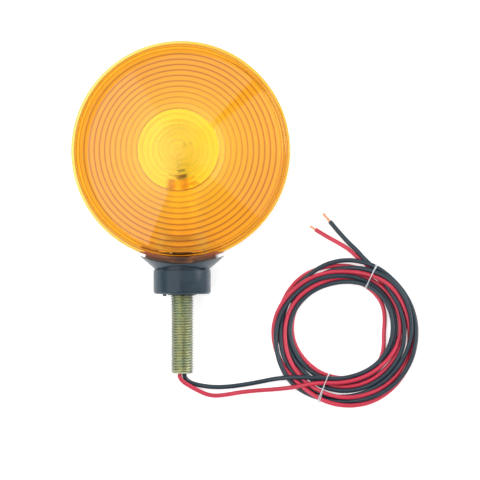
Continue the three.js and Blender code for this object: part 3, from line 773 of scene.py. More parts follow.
def dust_group():
    """Specks and a film of dust on whatever faces up."""
    tree, start, end = new_tree("settled_dust", "ShaderNodeTree", [
        ("Amount", "NodeSocketFloat", 0.2),
    ], [("Mask", "NodeSocketFloat")])
    facing = node(tree, "ShaderNodeSeparateXYZ", {0: node(tree, "ShaderNodeNewGeometry").outputs["Normal"]})
    upwards = ramp(tree, facing.outputs["Z"], 0.1, 1.0)
    specks = ramp(tree, noise(tree, object_coords(tree), SPECK_SCALE, 5.0, 0.75), 0.5, 0.75)
    broad = ramp(tree, noise(tree, object_coords(tree), FILM_SCALE, 2.0), 0.35, 0.7)
    film = calc(tree, "ADD", product(tree, specks, SPECK_SHARE), product(tree, broad, 1 - SPECK_SHARE))
    tree.links.new(product(tree, film, upwards, start["Amount"]), end["Mask"])
    return tree


WEAR_SCALE = 500.0


def wear_and_shade_group():
    """Broken wear on edges, or painted shade in hollows if Low is above High."""
    tree, start, end = new_tree("edge_wear_and_hollow_shade", "ShaderNodeTree", [
        ("Low", "NodeSocketFloat", 0.52), ("High", "NodeSocketFloat", 0.6),
        ("Amount", "NodeSocketFloat", 0.6),
    ], [("Mask", "NodeSocketFloat")])
    sharp = node(tree, "ShaderNodeNewGeometry").outputs["Pointiness"]
    edges = ramp(tree, sharp, start["Low"], start["High"])
    broken = ramp(tree, noise(tree, object_coords(tree), WEAR_SCALE, 4.0, 0.65), 0.3, 0.6)
    tree.links.new(product(tree, edges, broken, start["Amount"]), end["Mask"])
    return tree


SKIN = 0.9                             # what lies deeper than this in the dome is its ringed inner face
LAST_RING = 48.0
FAINT_FROM, FULL_FROM, FAINTEST = 8.0, 42.0, 0.3       # the painted shade lines get stronger outwards


def lens_rings_group():
    """On a lens: distance from its axis in millimetres, and masks for its painted shade lines, its rings, its
    rim and its foot.
    """
    tree, start, end = new_tree("lens_rings", "ShaderNodeTree", [
        ("First Ring", "NodeSocketFloat", RING_FROM), ("Pitch", "NodeSocketFloat", RING_PITCH),
        ("Last Ring", "NodeSocketFloat", LAST_RING), ("Line Width", "NodeSocketFloat", 0.8),
        ("Side", "NodeSocketFloat", 1.0),
    ], [("Radius", "NodeSocketFloat"), ("Line", "NodeSocketFloat"), ("Ringed", "NodeSocketFloat"),
        ("Rim", "NodeSocketFloat"), ("Foot", "NodeSocketFloat")])
    away = vector_calc(tree, "SUBTRACT", object_coords(tree), tuple(LAMP_ORIGIN))
    across = vector_calc(tree, "DOT_PRODUCT", away, tuple(LAMP_X))
    upwards = vector_calc(tree, "DOT_PRODUCT", away, tuple(LAMP_Y))
    outwards = product(tree, vector_calc(tree, "DOT_PRODUCT", away, tuple(LAMP_Z)), start["Side"])
    squares = calc(tree, "ADD", product(tree, across, across), product(tree, upwards, upwards))
    radius = product(tree, calc(tree, "SQRT", squares), 1 / MM)
    depth = calc(tree, "ADD", outwards, (DOME_RADIUS - DOME_HEIGHT) * MM)
    from_centre = calc(tree, "SQRT", calc(tree, "ADD", squares, product(tree, depth, depth)))
    under_skin = calc(tree, "LESS_THAN", from_centre, (DOME_RADIUS - SKIN) * MM)
    rings = calc(tree, "DIVIDE", calc(tree, "SUBTRACT", radius, start["First Ring"]), start["Pitch"])
    off_step = calc(tree, "ABSOLUTE", calc(tree, "SUBTRACT", rings, calc(tree, "ROUND", rings)))
    distance = product(tree, off_step, start["Pitch"])
    shade_line = ramp(tree, distance, 0.0, start["Line Width"], 1.0, 0.0)
    outside = calc(tree, "GREATER_THAN", radius, calc(tree, "SUBTRACT", start["First Ring"], 0.1))
    inside = calc(tree, "LESS_THAN", radius, start["Last Ring"])
    ringed = product(tree, under_skin, outside, inside)
    rim = calc(tree, "GREATER_THAN", radius, RIM_RADIUS)
    low_down = calc(tree, "LESS_THAN", upwards, -FOOT_BELOW * MM)
    # The step lines are painted shade, fainter towards the middle.
    shade_line = product(tree, shade_line, ringed, ramp(tree, radius, FAINT_FROM, FULL_FROM, FAINTEST, 1.0))
    # Painted shade lines at the rim's edges join them.
    for shade_radius, width, strength in RIM_SHADE_LINES:
        off_shade_line = calc(tree, "ABSOLUTE", calc(tree, "SUBTRACT", radius, shade_radius))
        shade_line = calc(tree, "MAXIMUM", shade_line, ramp(tree, off_shade_line, 0.0, width, strength, 0.0))
    tree.links.new(radius, end["Radius"])
    tree.links.new(shade_line, end["Line"])
    tree.links.new(ringed, end["Ringed"])
    tree.links.new(rim, end["Rim"])
    tree.links.new(product(tree, rim, low_down), end["Foot"])
    return tree


GRAIN = grain_group()
CLOUDS = cloud_group()
SCUFFS = scuff_group()
DUST = dust_group()
WEAR_AND_SHADE = wear_and_shade_group()
LENS_RINGS = lens_rings_group()

# ---------------------------------------------------------------- materials

DUST_COLOUR = (0.55, 0.53, 0.5, 1)
# The colour of the painted shade in hollows.
HOLLOW_SHADE_COLOUR = (0.09, 0.09, 0.08, 1)


def as_label(word):
    """A socket's label from the plain word that a function takes for it."""
    return word.replace("_", " ").title()


def use_group(tree, group, **values):
    """A shared group placed in a material with its own values."""
    made = node(tree, "ShaderNodeGroup", node_tree=group)
    for word, value in values.items():
        plug(tree, made.inputs[as_label(word)], value)
    return made.outputs


def mixed(tree, share, a, b):
    """Colour a, with its share of colour b over it."""
    made = node(tree, "ShaderNodeMix", data_type="RGBA")
    plug(tree, made.inputs[0], share)
    plug(tree, made.inputs[6], a)
    plug(tree, made.inputs[7], b)
    return made.outputs[2]


def tone(red, green, blue):
    """An opaque colour."""
    return (red, green, blue, 1)


def new_material(name):
    """A material, its tree, and the inputs of its Principled shader."""
    material = bpy.data.materials.new(name)
    material.use_nodes = True
    tree = material.node_tree
    return material, tree, tree.nodes["Principled BSDF"].inputs


def summed(tree, start, *parts):
    """A value plus each mask times how much it adds."""
    result = start
    for mask, amount in parts:
        result = calc(tree, "ADD", result, product(tree, mask, amount))
    return result


EDGES, HOLLOWS = (0.53, 0.60), (0.50, 0.43)    # the pointiness that is unworn or unshaded, and fully worn or fully shaded
# How far the painted sheen reaches in from the edges that turn away.
SHEEN_BLEND = 0.45
COAT_ROUGHNESS = 0.15


def plain_finish(name, colour, other, roughness, metallic=0.0, cloud=8.0, grain=0.3, depth=0.01,
                 worn=None, wear=0.5, hollow_shade=0.0, scuffs=0.3, dust=0.1, coat=0.0, shine=0.5, rim=None):
    """An opaque finish: two clouded tones, worn edges, painted shade in hollows, a painted sheen on edges
    that turn away, scuffs, a little dust and a moulded or drawn grain.
    """
    material, tree, shader = new_material(name)
    clouds = use_group(tree, CLOUDS, size=cloud)["Mask"]
    face = mixed(tree, clouds, tone(*colour), tone(*other))
    if worn:
        edges = use_group(tree, WEAR_AND_SHADE, low=EDGES[0], high=EDGES[1], amount=wear)["Mask"]
        face = mixed(tree, edges, face, tone(*worn))
    # Painted shade: darker in hollows, such as a thread's roots, where shade falls.
    if hollow_shade:
        hollows = use_group(tree, WEAR_AND_SHADE, low=HOLLOWS[0], high=HOLLOWS[1], amount=hollow_shade)["Mask"]
        face = mixed(tree, hollows, face, HOLLOW_SHADE_COLOUR)
    # Painted sheen: a rim colour mixed in where the surface turns away from the camera, in place of the light
    # that its edges reflect.
    if rim:
        painted_sheen_share = node(tree, "ShaderNodeLayerWeight", {"Blend": SHEEN_BLEND}).outputs["Facing"]
        face = mixed(tree, painted_sheen_share, face, tone(*rim))
    marks = use_group(tree, SCUFFS, amount=scuffs)["Mask"]
    dusty = use_group(tree, DUST, amount=dust)["Mask"]
    face = mixed(tree, dusty, face, DUST_COLOUR)
    plug(tree, shader["Base Color"], face)
    plug(tree, shader["Roughness"], summed(tree, roughness, (marks, 0.25), (clouds, 0.06), (dusty, 0.3)))
    plug(tree, shader["Normal"], use_group(tree, GRAIN, size=grain, depth=depth)["Normal"])
    shader["Metallic"].default_value = metallic
    shader["Specular IOR Level"].default_value = shine
    shader["Coat Weight"].default_value = coat
    shader["Coat Roughness"].default_value = COAT_ROUGHNESS
    return material


def lit_through(material, tree, colour):
    """Lets light for other pieces pass straight through, tinted once per surface."""
    path = node(tree, "ShaderNodeLightPath").outputs
    passing = node(tree, "ShaderNodeBsdfTransparent", {"Color": colour})
    indirect = calc(tree, "MAXIMUM", path["Is Shadow Ray"], path["Is Diffuse Ray"])
    both = node(tree, "ShaderNodeMixShader", {
        0: indirect, 1: tree.nodes["Principled BSDF"].outputs[0], 2: passing.outputs[0],
    })
    tree.links.new(both.outputs[0], tree.nodes["Material Output"].inputs["Surface"])
    return material


AMBER_FACE = tone(1.0, 0.59, 0.085)
AMBER_MIDDLE = tone(1.0, 0.68, 0.085)
# Painted shade: the dark lines where the prisms step.
AMBER_STEP_SHADE = tone(0.26, 0.03, 0.07)
AMBER_WINDOW = tone(1.0, 0.69, 0.02)
# Painted shade: the darker lines where the bull's-eye steps.
AMBER_EYE_SHADE = tone(1.0, 0.42, 0.02)
# Painted glow: the pale lemon tint of the amber lens's rim.
AMBER_RIM_GLOW = tone(1.0, 0.97, 0.20)
# Painted shade: the foot's tint, darkened where it sits over the black pedestal.
AMBER_FOOT_SHADE = tone(0.30, 0.07, 0.012)
AMBER_LIGHT = tone(1.0, 0.80, 0.35)
CLEAR_FACE = tone(0.965, 0.95, 0.97)
# Painted shade on the clear lens: its lines where the prisms step and in its bull's-eye.
CLEAR_STEP_SHADE = tone(0.84, 0.83, 0.86)
CLEAR_EYE_SHADE = tone(0.90, 0.88, 0.91)
CLEAR_RIM = tone(0.78, 0.73, 0.80)
CLEAR_LIGHT = tone(0.97, 0.96, 0.975)
WINDOW_HAZE = 0.3                      # of the haze on the ringed part
WINDOW_EDGE = (19.15, 19.45)
MIDDLE_FADES = (20.0, 45.0)
EYE_TO, EYE_LINE = 19.3, 0.9
FOOT_HAZE = 0.35


def lens_finish(name, tints, light, roughness, haze, side):
    """Moulded lens plastic: darker where the prisms step as painted shade, hazy on their faces, paler in its
    thin middle, with its own tints on its rim and its foot.
    """
    material, tree, shader = new_material(name)
    middle, face, shade_line, window, eye, rim, foot = tints
    rings = use_group(tree, LENS_RINGS, side=side)
    marks = use_group(tree, SCUFFS, size=2.0, amount=0.5)["Mask"]
    dusty = use_group(tree, DUST, amount=0.05)["Mask"]
    face = mixed(tree, ramp(tree, rings["Radius"], *MIDDLE_FADES), middle, face)
    tint = mixed(tree, rings["Line"], face, shade_line)
    inside = ramp(tree, rings["Radius"], *WINDOW_EDGE, 1.0, 0.0)
    # The bull's-eye's lines are painted shade.
    eyes = use_group(tree, LENS_RINGS, side=side, first_ring=0.0, pitch=EYE_PITCH, last_ring=EYE_TO,
                     line_width=EYE_LINE)
    tint = mixed(tree, inside, tint, mixed(tree, eyes["Line"], window, eye))
    # On the amber lens the rim tint is a painted glow and the foot tint is painted shade.
    tint = mixed(tree, rings["Rim"], tint, rim)
    tint = mixed(tree, rings["Foot"], tint, foot)
    plug(tree, shader["Base Color"], mixed(tree, dusty, tint, DUST_COLOUR))
    plug(tree, shader["Roughness"], summed(
        tree, roughness, (marks, 0.12), (rings["Ringed"], haze), (inside, haze * WINDOW_HAZE),
        (rings["Foot"], FOOT_HAZE)))
    plug(tree, shader["Normal"], use_group(tree, GRAIN, size=1.2, depth=0.0015)["Normal"])
    shader["IOR"].default_value = 1.49
    shader["Transmission Weight"].default_value = 1.0
    return lit_through(material, tree, light)


AMBER_TINTS = (AMBER_MIDDLE, AMBER_FACE, AMBER_STEP_SHADE, AMBER_WINDOW, AMBER_EYE_SHADE, AMBER_RIM_GLOW, AMBER_FOOT_SHADE)
CLEAR_TINTS = (CLEAR_FACE, CLEAR_FACE, CLEAR_STEP_SHADE, CLEAR_FACE, CLEAR_EYE_SHADE, CLEAR_RIM, CLEAR_RIM)
amber_plastic = lens_finish("amber_plastic", AMBER_TINTS, AMBER_LIGHT, roughness=0.05, haze=0.44, side=1.0)
clear_plastic = lens_finish("clear_plastic", CLEAR_TINTS, CLEAR_LIGHT, roughness=0.05, haze=0.1, side=-1.0)


def bulb_finish():
    """Thin clear glass."""
    material, tree, shader = new_material("bulb_glass_finish")
    clouds = use_group(tree, CLOUDS, size=9.0)["Mask"]
    plug(tree, shader["Base Color"], mixed(tree, clouds, tone(0.97, 0.98, 0.97), tone(0.93, 0.95, 0.94)))
    plug(tree, shader["Roughness"], product(tree, clouds, 0.03))
    plug(tree, shader["Normal"], use_group(tree, GRAIN, size=6.0, depth=0.004)["Normal"])
    shader["IOR"].default_value = 1.5
    shader["Transmission Weight"].default_value = 1.0
    return lit_through(material, tree, tone(0.98, 0.985, 0.98))


bulb_clear = bulb_finish()
white_paint = plain_finish("white_paint", (0.86, 0.86, 0.84), (0.82, 0.82, 0.79), 0.42, cloud=18, grain=0.5,
                           depth=0.004, worn=(0.6, 0.6, 0.58), wear=0.3, dust=0.05)
# Its rim colour is a painted sheen, bluer on the edges that turn away.
black_plastic = plain_finish("black_plastic", (0.009, 0.023, 0.036), (0.014, 0.031, 0.046), 0.26, cloud=7,
                             grain=0.25, depth=0.008, worn=(0.06, 0.08, 0.10), wear=0.4, scuffs=0.4,
                             dust=0.02, shine=0.32, rim=(0.035, 0.07, 0.10))
# Its rim colour is a painted reflection, greyer on the edges that turn away, and its hollow shade is painted
# shade in the thread's roots.
yellow_zinc = plain_finish("yellow_zinc", (0.58, 0.58, 0.30), (0.50, 0.56, 0.34), 0.3, 1.0, cloud=4,
                           grain=0.15, depth=0.004, worn=(0.62, 0.62, 0.46), wear=0.4, scuffs=0.5, dust=0.03,
                           hollow_shade=0.8, rim=(0.26, 0.29, 0.31))
bright_zinc = plain_finish("bright_zinc", (0.84, 0.84, 0.84), (0.76, 0.77, 0.78), 0.42, 0.5, cloud=5,
                           grain=0.2, depth=0.004, worn=(0.75, 0.76, 0.78), dust=0.03)
socket_tin = plain_finish("socket_tin", (0.88, 0.87, 0.85), (0.82, 0.81, 0.79), 0.42, 0.6, cloud=6, grain=0.3,
                          depth=0.003, worn=(0.92, 0.91, 0.90), dust=0.02)
spring_wire = plain_finish("spring_wire", (0.48, 0.47, 0.46), (0.38, 0.37, 0.36), 0.3, 1.0, cloud=3,
                           grain=0.1, depth=0.002, dust=0.0)
brown_phenolic = plain_finish("brown_phenolic", (0.20, 0.085, 0.035), (0.15, 0.06, 0.025), 0.5,
                              cloud=2, grain=0.2, depth=0.01, worn=(0.30, 0.15, 0.07), dust=0.02)
bright_brass = plain_finish("bright_brass", (0.80, 0.58, 0.22), (0.66, 0.46, 0.18), 0.28, 1.0, cloud=4,
                            grain=0.2, depth=0.003, worn=(0.88, 0.70, 0.34), dust=0.02)
dull_solder = plain_finish("dull_solder", (0.55, 0.55, 0.56), (0.42, 0.42, 0.44), 0.38, 1.0, cloud=1,
                           grain=0.3, depth=0.01, dust=0.02)
dark_tungsten = plain_finish("dark_tungsten", (0.20, 0.20, 0.21), (0.14, 0.14, 0.15), 0.4, 1.0, cloud=1,
                             grain=0.05, depth=0.001, dust=0.0)
red_insulation = plain_finish("red_insulation", (0.56, 0.026, 0.064), (0.49, 0.021, 0.052), 0.32,
                              cloud=10, grain=0.5, depth=0.004, worn=(0.80, 0.09, 0.14), wear=0.15,
                              scuffs=0.4, dust=0.02)
black_insulation = plain_finish("black_insulation", (0.011, 0.026, 0.040), (0.017, 0.034, 0.050), 0.3,
                                cloud=9, grain=0.4, depth=0.004, worn=(0.07, 0.09, 0.11), wear=0.2,
                                scuffs=0.4, dust=0.02, shine=0.4)
bare_copper = plain_finish("bare_copper", (0.86, 0.48, 0.30), (0.72, 0.36, 0.22), 0.26, 1.0, cloud=1.5,
                           grain=0.1, depth=0.002, worn=(0.92, 0.62, 0.45), dust=0.0)
silvery_tie = plain_finish("silvery_tie", (0.66, 0.70, 0.72), (0.46, 0.51, 0.54), 0.2, 0.3, cloud=2,
                           grain=0.2, depth=0.002, worn=(0.7, 0.73, 0.75), dust=0.0, coat=0.5)

red_lead.data.materials.append(red_insulation)
black_lead.data.materials.append(black_insulation)

# ---------------------------------------------------------------- lenses

LENS_RADIUS, LENS_INSIDE = 52.4, 50.2
SPLIT = 0.8                            # each lens begins this far from the middle of the lamp
RIM_DEPTH, RIM_INSIDE = 11.5, 50.7
DOME_EDGE = 50.0
LENS_WALL, WINDOW_WALL = 2.2, 1.3
WINDOW_RADIUS = 19.2
RING_STEP, RING_BULGE, EYE_BULGE = 0.42, 0.16, 0.16
RING_PARTS = (0.01, 0.14, 0.28, 0.42, 0.56, 0.70, 0.84, 0.985)
INNER_EDGE, INNER_DROP = 48.1, 2
LENS_SEGMENTS = 144
FOOT_RADIUS, FOOT_HALF_WIDTH = 53.8, 17
FOOT_FROM, FOOT_TO = 3.3, 11
NOTCH_CLEARANCE = 0.7
NOTCH_BOTTOM, NOTCH_TOP = -61, -39.9


def dome_height(radius, inset=0.0):
    """How high the dome stands at a radius, or a surface that lies this far inside it."""
    return DOME_HEIGHT - DOME_RADIUS + math.sqrt((DOME_RADIUS - inset) ** 2 - radius ** 2)


def lens_mesh(material):
    """A thick skirt, a flat rim, a shallow dome with ringed prisms inside it, and a notched foot."""
    outside = rounded([
        (LENS_INSIDE, SPLIT, 0), (LENS_RADIUS, SPLIT, 0.25), (LENS_RADIUS, RIM_DEPTH, 0.6),
        (RIM_INSIDE, RIM_DEPTH, 0.3), (DOME_EDGE, dome_height(DOME_EDGE), 0),
    ])
    outside = outside[:-1] + [(r, dome_height(r)) for r in np.linspace(DOME_EDGE, 0, 36)]
    eye_rings = math.ceil(WINDOW_RADIUS / EYE_PITCH) + 1
    eyes = [EYE_PITCH * (ring + part) for ring in range(eye_rings) for part in RING_PARTS]
    inside = [(0, dome_height(0, WINDOW_WALL))]
    for radius in [eye for eye in eyes if eye < WINDOW_RADIUS] + [WINDOW_RADIUS]:
        phase = radius / EYE_PITCH % 1
        inside.append((radius, dome_height(radius, WINDOW_WALL) - EYE_BULGE * 4 * phase * (1 - phase)))
    ring_count = math.ceil((INNER_EDGE - RING_FROM) / RING_PITCH)
    ringed = [RING_FROM + RING_PITCH * (ring + part) for ring in range(ring_count) for part in RING_PARTS]
    rings = [(r, dome_height(r, LENS_WALL)) for r in ringed if r < INNER_EDGE]
    last_height = dome_height(INNER_EDGE, LENS_WALL)
    close = [(INNER_EDGE, last_height), (LENS_INSIDE, last_height - INNER_DROP)]
    profile = outside + inside + rings + close + outside[:1]
    marks = [0] * (len(outside) + len(inside)) + [1] * len(rings) + [0] * (len(close) + 1)
    mesh = realise(
        polyline(profile, ringed=marks),
        (PRISMS, {
            "First Ring": RING_FROM, "Pitch": RING_PITCH, "Step": RING_STEP, "Bulge": RING_BULGE,
            "Material": material,
        }),
        (TURNED, {"Segments": LENS_SEGMENTS, "Material": material}),
    )
    half = math.degrees(math.asin(FOOT_HALF_WIDTH / FOOT_RADIUS))
    outline = arc((0, 0), FOOT_RADIUS, 270 - half, 270 + half, 28)
    outline += arc((0, 0), LENS_RADIUS - 1, 270 + half, 270 - half, 28)
    foot = prism_mesh(outline, FOOT_FROM, FOOT_TO)
    notch = drill(STUD_RADIUS + NOTCH_CLEARANCE, NOTCH_BOTTOM, NOTCH_TOP, material, 40)
    return carve(tidy_mesh(mesh), ("UNION", foot), ("DIFFERENCE", notch))


HALF_TURN = Matrix.Rotation(math.pi, 4, "Y")
add_piece("amber_lens", lens_mesh(amber_plastic), "lens_cover", amber_plastic, ["front_lens"])
add_piece("clear_lens", lens_mesh(clear_plastic), "lamp_body", clear_plastic, ["rear_lens"],
          LAMP_FROM_MM @ HALF_TURN)

# ---------------------------------------------------------------- reflector plate

PLATE_RADIUS, PLATE_HALF = 51.9, 0.5
PLATE_WINDOW = 21.5
SLOTS = ((9.4, -13), (11.4, -41))      # half width and top, round the socket and round the nut


def plate_mesh():
    """A thin white disc with a round window for the bulb, and slots down to its lower edge."""
    profile = ring_profile(PLATE_WINDOW, PLATE_RADIUS, -PLATE_HALF, PLATE_HALF, 0.2)
    disc = realise(polyline(profile), (TURNED, {"Segments": 128, "Material": white_paint}))
    slots = [box_mesh((-half, -PLATE_RADIUS - 1, -3), (half, top, 3)) for half, top in SLOTS]
    return carve(tidy_mesh(disc), *[("DIFFERENCE", slot) for slot in slots])


add_piece("white_plate", plate_mesh(), "lamp_body", white_paint, ["reflector_plate"])

# ---------------------------------------------------------------- pedestal

SADDLE_TIP_HALF, SADDLE_TIP_Y = 20.7, -49.98
SADDLE_NECK_HALF, SADDLE_NECK_Y = 13.6, -56.2
SADDLE_ABOVE_TIPS = 4                  # the flare is drawn past its tips and then scooped out
NECK_RADIUS, NECK_END = 13.4, -57
EDGE_HALF, EDGE_LOW, EDGE_BOW = 12.3, 0.05, 2.2     # the flare's lower edge bows up over a recess
SPIGOT_RADIUS, SPIGOT_END = 9, -61
SCOOP_RADIUS = 54.1
RIB_RADIUS, RIB_HALF_DEPTH, RIB_HALF_WIDTH = 52.7, 3, 16.5
SEAT_Y = -68.6
COLLAR_RADIUS, COLLAR_TOP, COLLAR_CORNER = 13.8, -57.04, 1.7
BOSS_WALL, BOSS_HEIGHT = 1, 0.5        # the raised ring round the stud under the seat
PIP_RADIUS, PIP_HEIGHT, PIP_PLACE = 0.9, 0.9, (-8.2, 3)


def drum_mesh(radius):
    """A drum on the lens axis, the shape that the pedestal is scooped with."""
    return prism_mesh(arc((0, 0), radius, 0, 357, 119), -60, 60)


def recess_mesh():
    """What is cut from under the flare, in front of the neck and behind it."""
    bowed = [(x, NECK_END + EDGE_LOW + EDGE_BOW * (1 - (x / EDGE_HALF) ** 2))
             for x in np.linspace(-EDGE_HALF, EDGE_HALF, 25)]
    outline = [(EDGE_HALF, NECK_END - 1), (-EDGE_HALF, NECK_END - 1)] + bowed
    core = drill(EDGE_HALF + 0.1, SPIGOT_END - 9, SADDLE_TIP_Y + 10, black_plastic, 96)
    return carve(prism_mesh(outline, -25, 25), ("DIFFERENCE", core))


def saddle_mesh():
    """A flare scooped to the lenses, a rib that goes up between their feet, a neck and a spigot."""
    slope = (SADDLE_TIP_HALF - SADDLE_NECK_HALF) / (SADDLE_TIP_Y - SADDLE_NECK_Y)
    high = SADDLE_TIP_Y + SADDLE_ABOVE_TIPS
    outline = rounded([
        (0, SPIGOT_END, 0), (SPIGOT_RADIUS, SPIGOT_END, 0.3), (SPIGOT_RADIUS, NECK_END, 0),
        (NECK_RADIUS, NECK_END, 0.1), (NECK_RADIUS, SADDLE_NECK_Y + GAP / 2, 0),
        (SADDLE_NECK_HALF, SADDLE_NECK_Y, 0.1), (SADDLE_NECK_HALF + slope * (high - SADDLE_NECK_Y), high, 0),
        (0, high, 0),
    ], steps=3)
    solid = turn_mesh(outline, black_plastic, 96)
    rib_low = (-RIB_HALF_WIDTH, SPIGOT_END, -RIB_HALF_DEPTH)
    rib_block = box_mesh(rib_low, (RIB_HALF_WIDTH, high, RIB_HALF_DEPTH))
    rib = carve(solid.copy(), ("INTERSECT", rib_block), ("DIFFERENCE", drum_mesh(RIB_RADIUS)))
    bore = drill(STUD_HOLE, SPIGOT_END - 1, high + 1, black_plastic)
    return carve(solid, ("DIFFERENCE", drum_mesh(SCOOP_RADIUS)), ("UNION", rib), ("DIFFERENCE", bore),
                 ("DIFFERENCE", recess_mesh()))


def collar_mesh():
    """A ring round the spigot, with a boss and an anti-turn pip under its seat."""
    boss, socket = STUD_HOLE + BOSS_WALL, SPIGOT_RADIUS + GAP
    profile = looped(rounded([
        (STUD_HOLE, SEAT_Y - BOSS_HEIGHT, 0), (boss, SEAT_Y - BOSS_HEIGHT, 0.15), (boss, SEAT_Y, 0),
        (COLLAR_RADIUS, SEAT_Y, COLLAR_CORNER), (COLLAR_RADIUS, COLLAR_TOP, 0.3), (socket, COLLAR_TOP, 0.2),
        (socket, SPIGOT_END - GAP, 0), (STUD_HOLE, SPIGOT_END - GAP, 0),
    ], steps=5))
    body = turn_mesh(profile, black_plastic, 96)
    pip = turn_mesh(rounded([
        (0, SEAT_Y - PIP_HEIGHT, 0), (PIP_RADIUS, SEAT_Y - PIP_HEIGHT, 0.3),
        (PIP_RADIUS, SEAT_Y + PIP_HEIGHT, 0), (0, SEAT_Y + PIP_HEIGHT, 0),
    ]), black_plastic, 24)
    pip.transform(Matrix.Translation((PIP_PLACE[0], 0, PIP_PLACE[1])))
    return carve(body, ("UNION", pip))


add_piece("saddle", saddle_mesh(), "lamp_body", black_plastic, ["pedestal_saddle"])
add_piece("round_collar", collar_mesh(), "lamp_body", black_plastic, ["pedestal_collar"])

# ---------------------------------------------------------------- stud, nut and washer

STUD_END, STUD_TOP = -106.6, -41.9
STUD_BORE, BORE_CHAMFER = 3.3, 0.3
STUD_CHAMFER = 0.8
THREAD_PITCH, THREAD_DEPTH = 1.27, 0.72
ROWS_PER_THREAD = 8


def stud_mesh():
    """A hollow stud, threaded from end to end."""
    rows = int((STUD_TOP - STUD_END) / THREAD_PITCH * ROWS_PER_THREAD)
    outer = []
    for height in np.linspace(STUD_END, STUD_TOP, rows + 1):
        from_end = min(height - STUD_END, STUD_TOP - height)
        outer.append((STUD_RADIUS - max(STUD_CHAMFER - from_end, 0), height))
    mouth = STUD_BORE + BORE_CHAMFER
    bore = [(STUD_BORE, STUD_TOP), (STUD_BORE, STUD_END + BORE_CHAMFER), (mouth, STUD_END)]
    profile = looped(outer + [(mouth, STUD_TOP)] + bore)
    marks = [1] * len(outer) + [0] * (len(bore) + 1) + [1]
    mesh = realise(polyline(profile, threaded=marks), (TURNED, {
        "Segments": 56, "Crest Radius": STUD_RADIUS, "Thread Pitch": THREAD_PITCH,
        "Thread Depth": THREAD_DEPTH, "Material": yellow_zinc,
    }))
    mesh.transform(Y_AXIS)
    return tidy_mesh(mesh)


NUT_ACROSS, NUT_BOTTOM, NUT_TOP = 17.5, -46.9, -42.4
NUT_TURNED = math.radians(11)
NUT_FACE, NUT_SLOPE, NUT_LEAD_IN = 8.6, 0.9, 0.5       # chamfers of its corners and of its hole
WASHER_HALF_WIDTH, WASHER_HALF_DEPTH, WASHER_CORNER = 11, 8.5, 1.6
WASHER_BOTTOM, WASHER_TOP = -48.6, -47.2


def nut_mesh():
    """A thin hexagonal nut with chamfered corners."""
    corner = NUT_ACROSS / math.sqrt(3)
    blank = prism_mesh(arc((0, 0), corner, 0, 300, 5), NUT_BOTTOM, NUT_TOP)
    blank.transform(Matrix.Rotation(NUT_TURNED, 4, "Y") @ Y_AXIS)
    cone = corner + 0.1
    round_off = turn_mesh([
        (0, NUT_BOTTOM), (NUT_FACE, NUT_BOTTOM), (cone, NUT_BOTTOM + NUT_SLOPE), (cone, NUT_TOP - NUT_SLOPE),
        (NUT_FACE, NUT_TOP), (0, NUT_TOP),
    ], bright_zinc, 72)
    mouth = STUD_HOLE + NUT_LEAD_IN
    hole = turn_mesh([
        (0, NUT_BOTTOM - 1), (mouth, NUT_BOTTOM - 1), (mouth, NUT_BOTTOM),
        (STUD_HOLE, NUT_BOTTOM + NUT_LEAD_IN), (STUD_HOLE, NUT_TOP - NUT_LEAD_IN),
        (mouth, NUT_TOP), (mouth, NUT_TOP + 1), (0, NUT_TOP + 1),
    ], bright_zinc, 48)
    return carve(blank, ("INTERSECT", round_off), ("DIFFERENCE", hole), bevel=0.12)


def washer_mesh():
    """A square washer with rounded corners."""
    outline = []
    for x, y, turn in ((1, 1, 0), (-1, 1, 90), (-1, -1, 180), (1, -1, 270)):
        centre = (x * (WASHER_HALF_WIDTH - WASHER_CORNER), y * (WASHER_HALF_DEPTH - WASHER_CORNER))
        outline += arc(centre, WASHER_CORNER, turn, turn + 90, 5)
    blank = prism_mesh(outline, WASHER_BOTTOM, WASHER_TOP)
    blank.transform(Y_AXIS)
    hole = drill(STUD_HOLE, WASHER_BOTTOM - 1, WASHER_TOP + 1, bright_zinc)
    return carve(blank, ("DIFFERENCE", hole), bevel=0.15)


add_piece("threaded_stud", stud_mesh(), "lamp_body", yellow_zinc, ["mounting_stud"], sharp=50)
add_piece("thin_nut", nut_mesh(), "lamp_body", bright_zinc, ["jam_nut"])
add_piece("square_washer", washer_mesh(), "lamp_body", bright_zinc, ["clamp_washer"])

# ---------------------------------------------------------------- bayonet socket

SHELL_OUT, SHELL_IN = 8.6, 7.9
SHELL_BOTTOM, SHELL_TOP = -41.6, -19
BASE_BOTTOM, BASE_TOP = -40.5, -38.9
LEAD_HOLE = 3.4
PIN_Y, PIN_RADIUS = -23.5, 1
PUSH, TURN = 2.5, 20
WINDOW_REACH, WINDOW_STEP = 2.5, 5     # a window is cut by boxes set side by side round the shell
PLUNGER_RADIUS, PLUNGER_TOP, PLUNGER_BOTTOM = 7.4, -31.8, -33.1
PLUNGER_HOLE = 2.3
RIVET_RADIUS, RIVET_TOP, RIVET_BOTTOM = 2, -31.3, -34


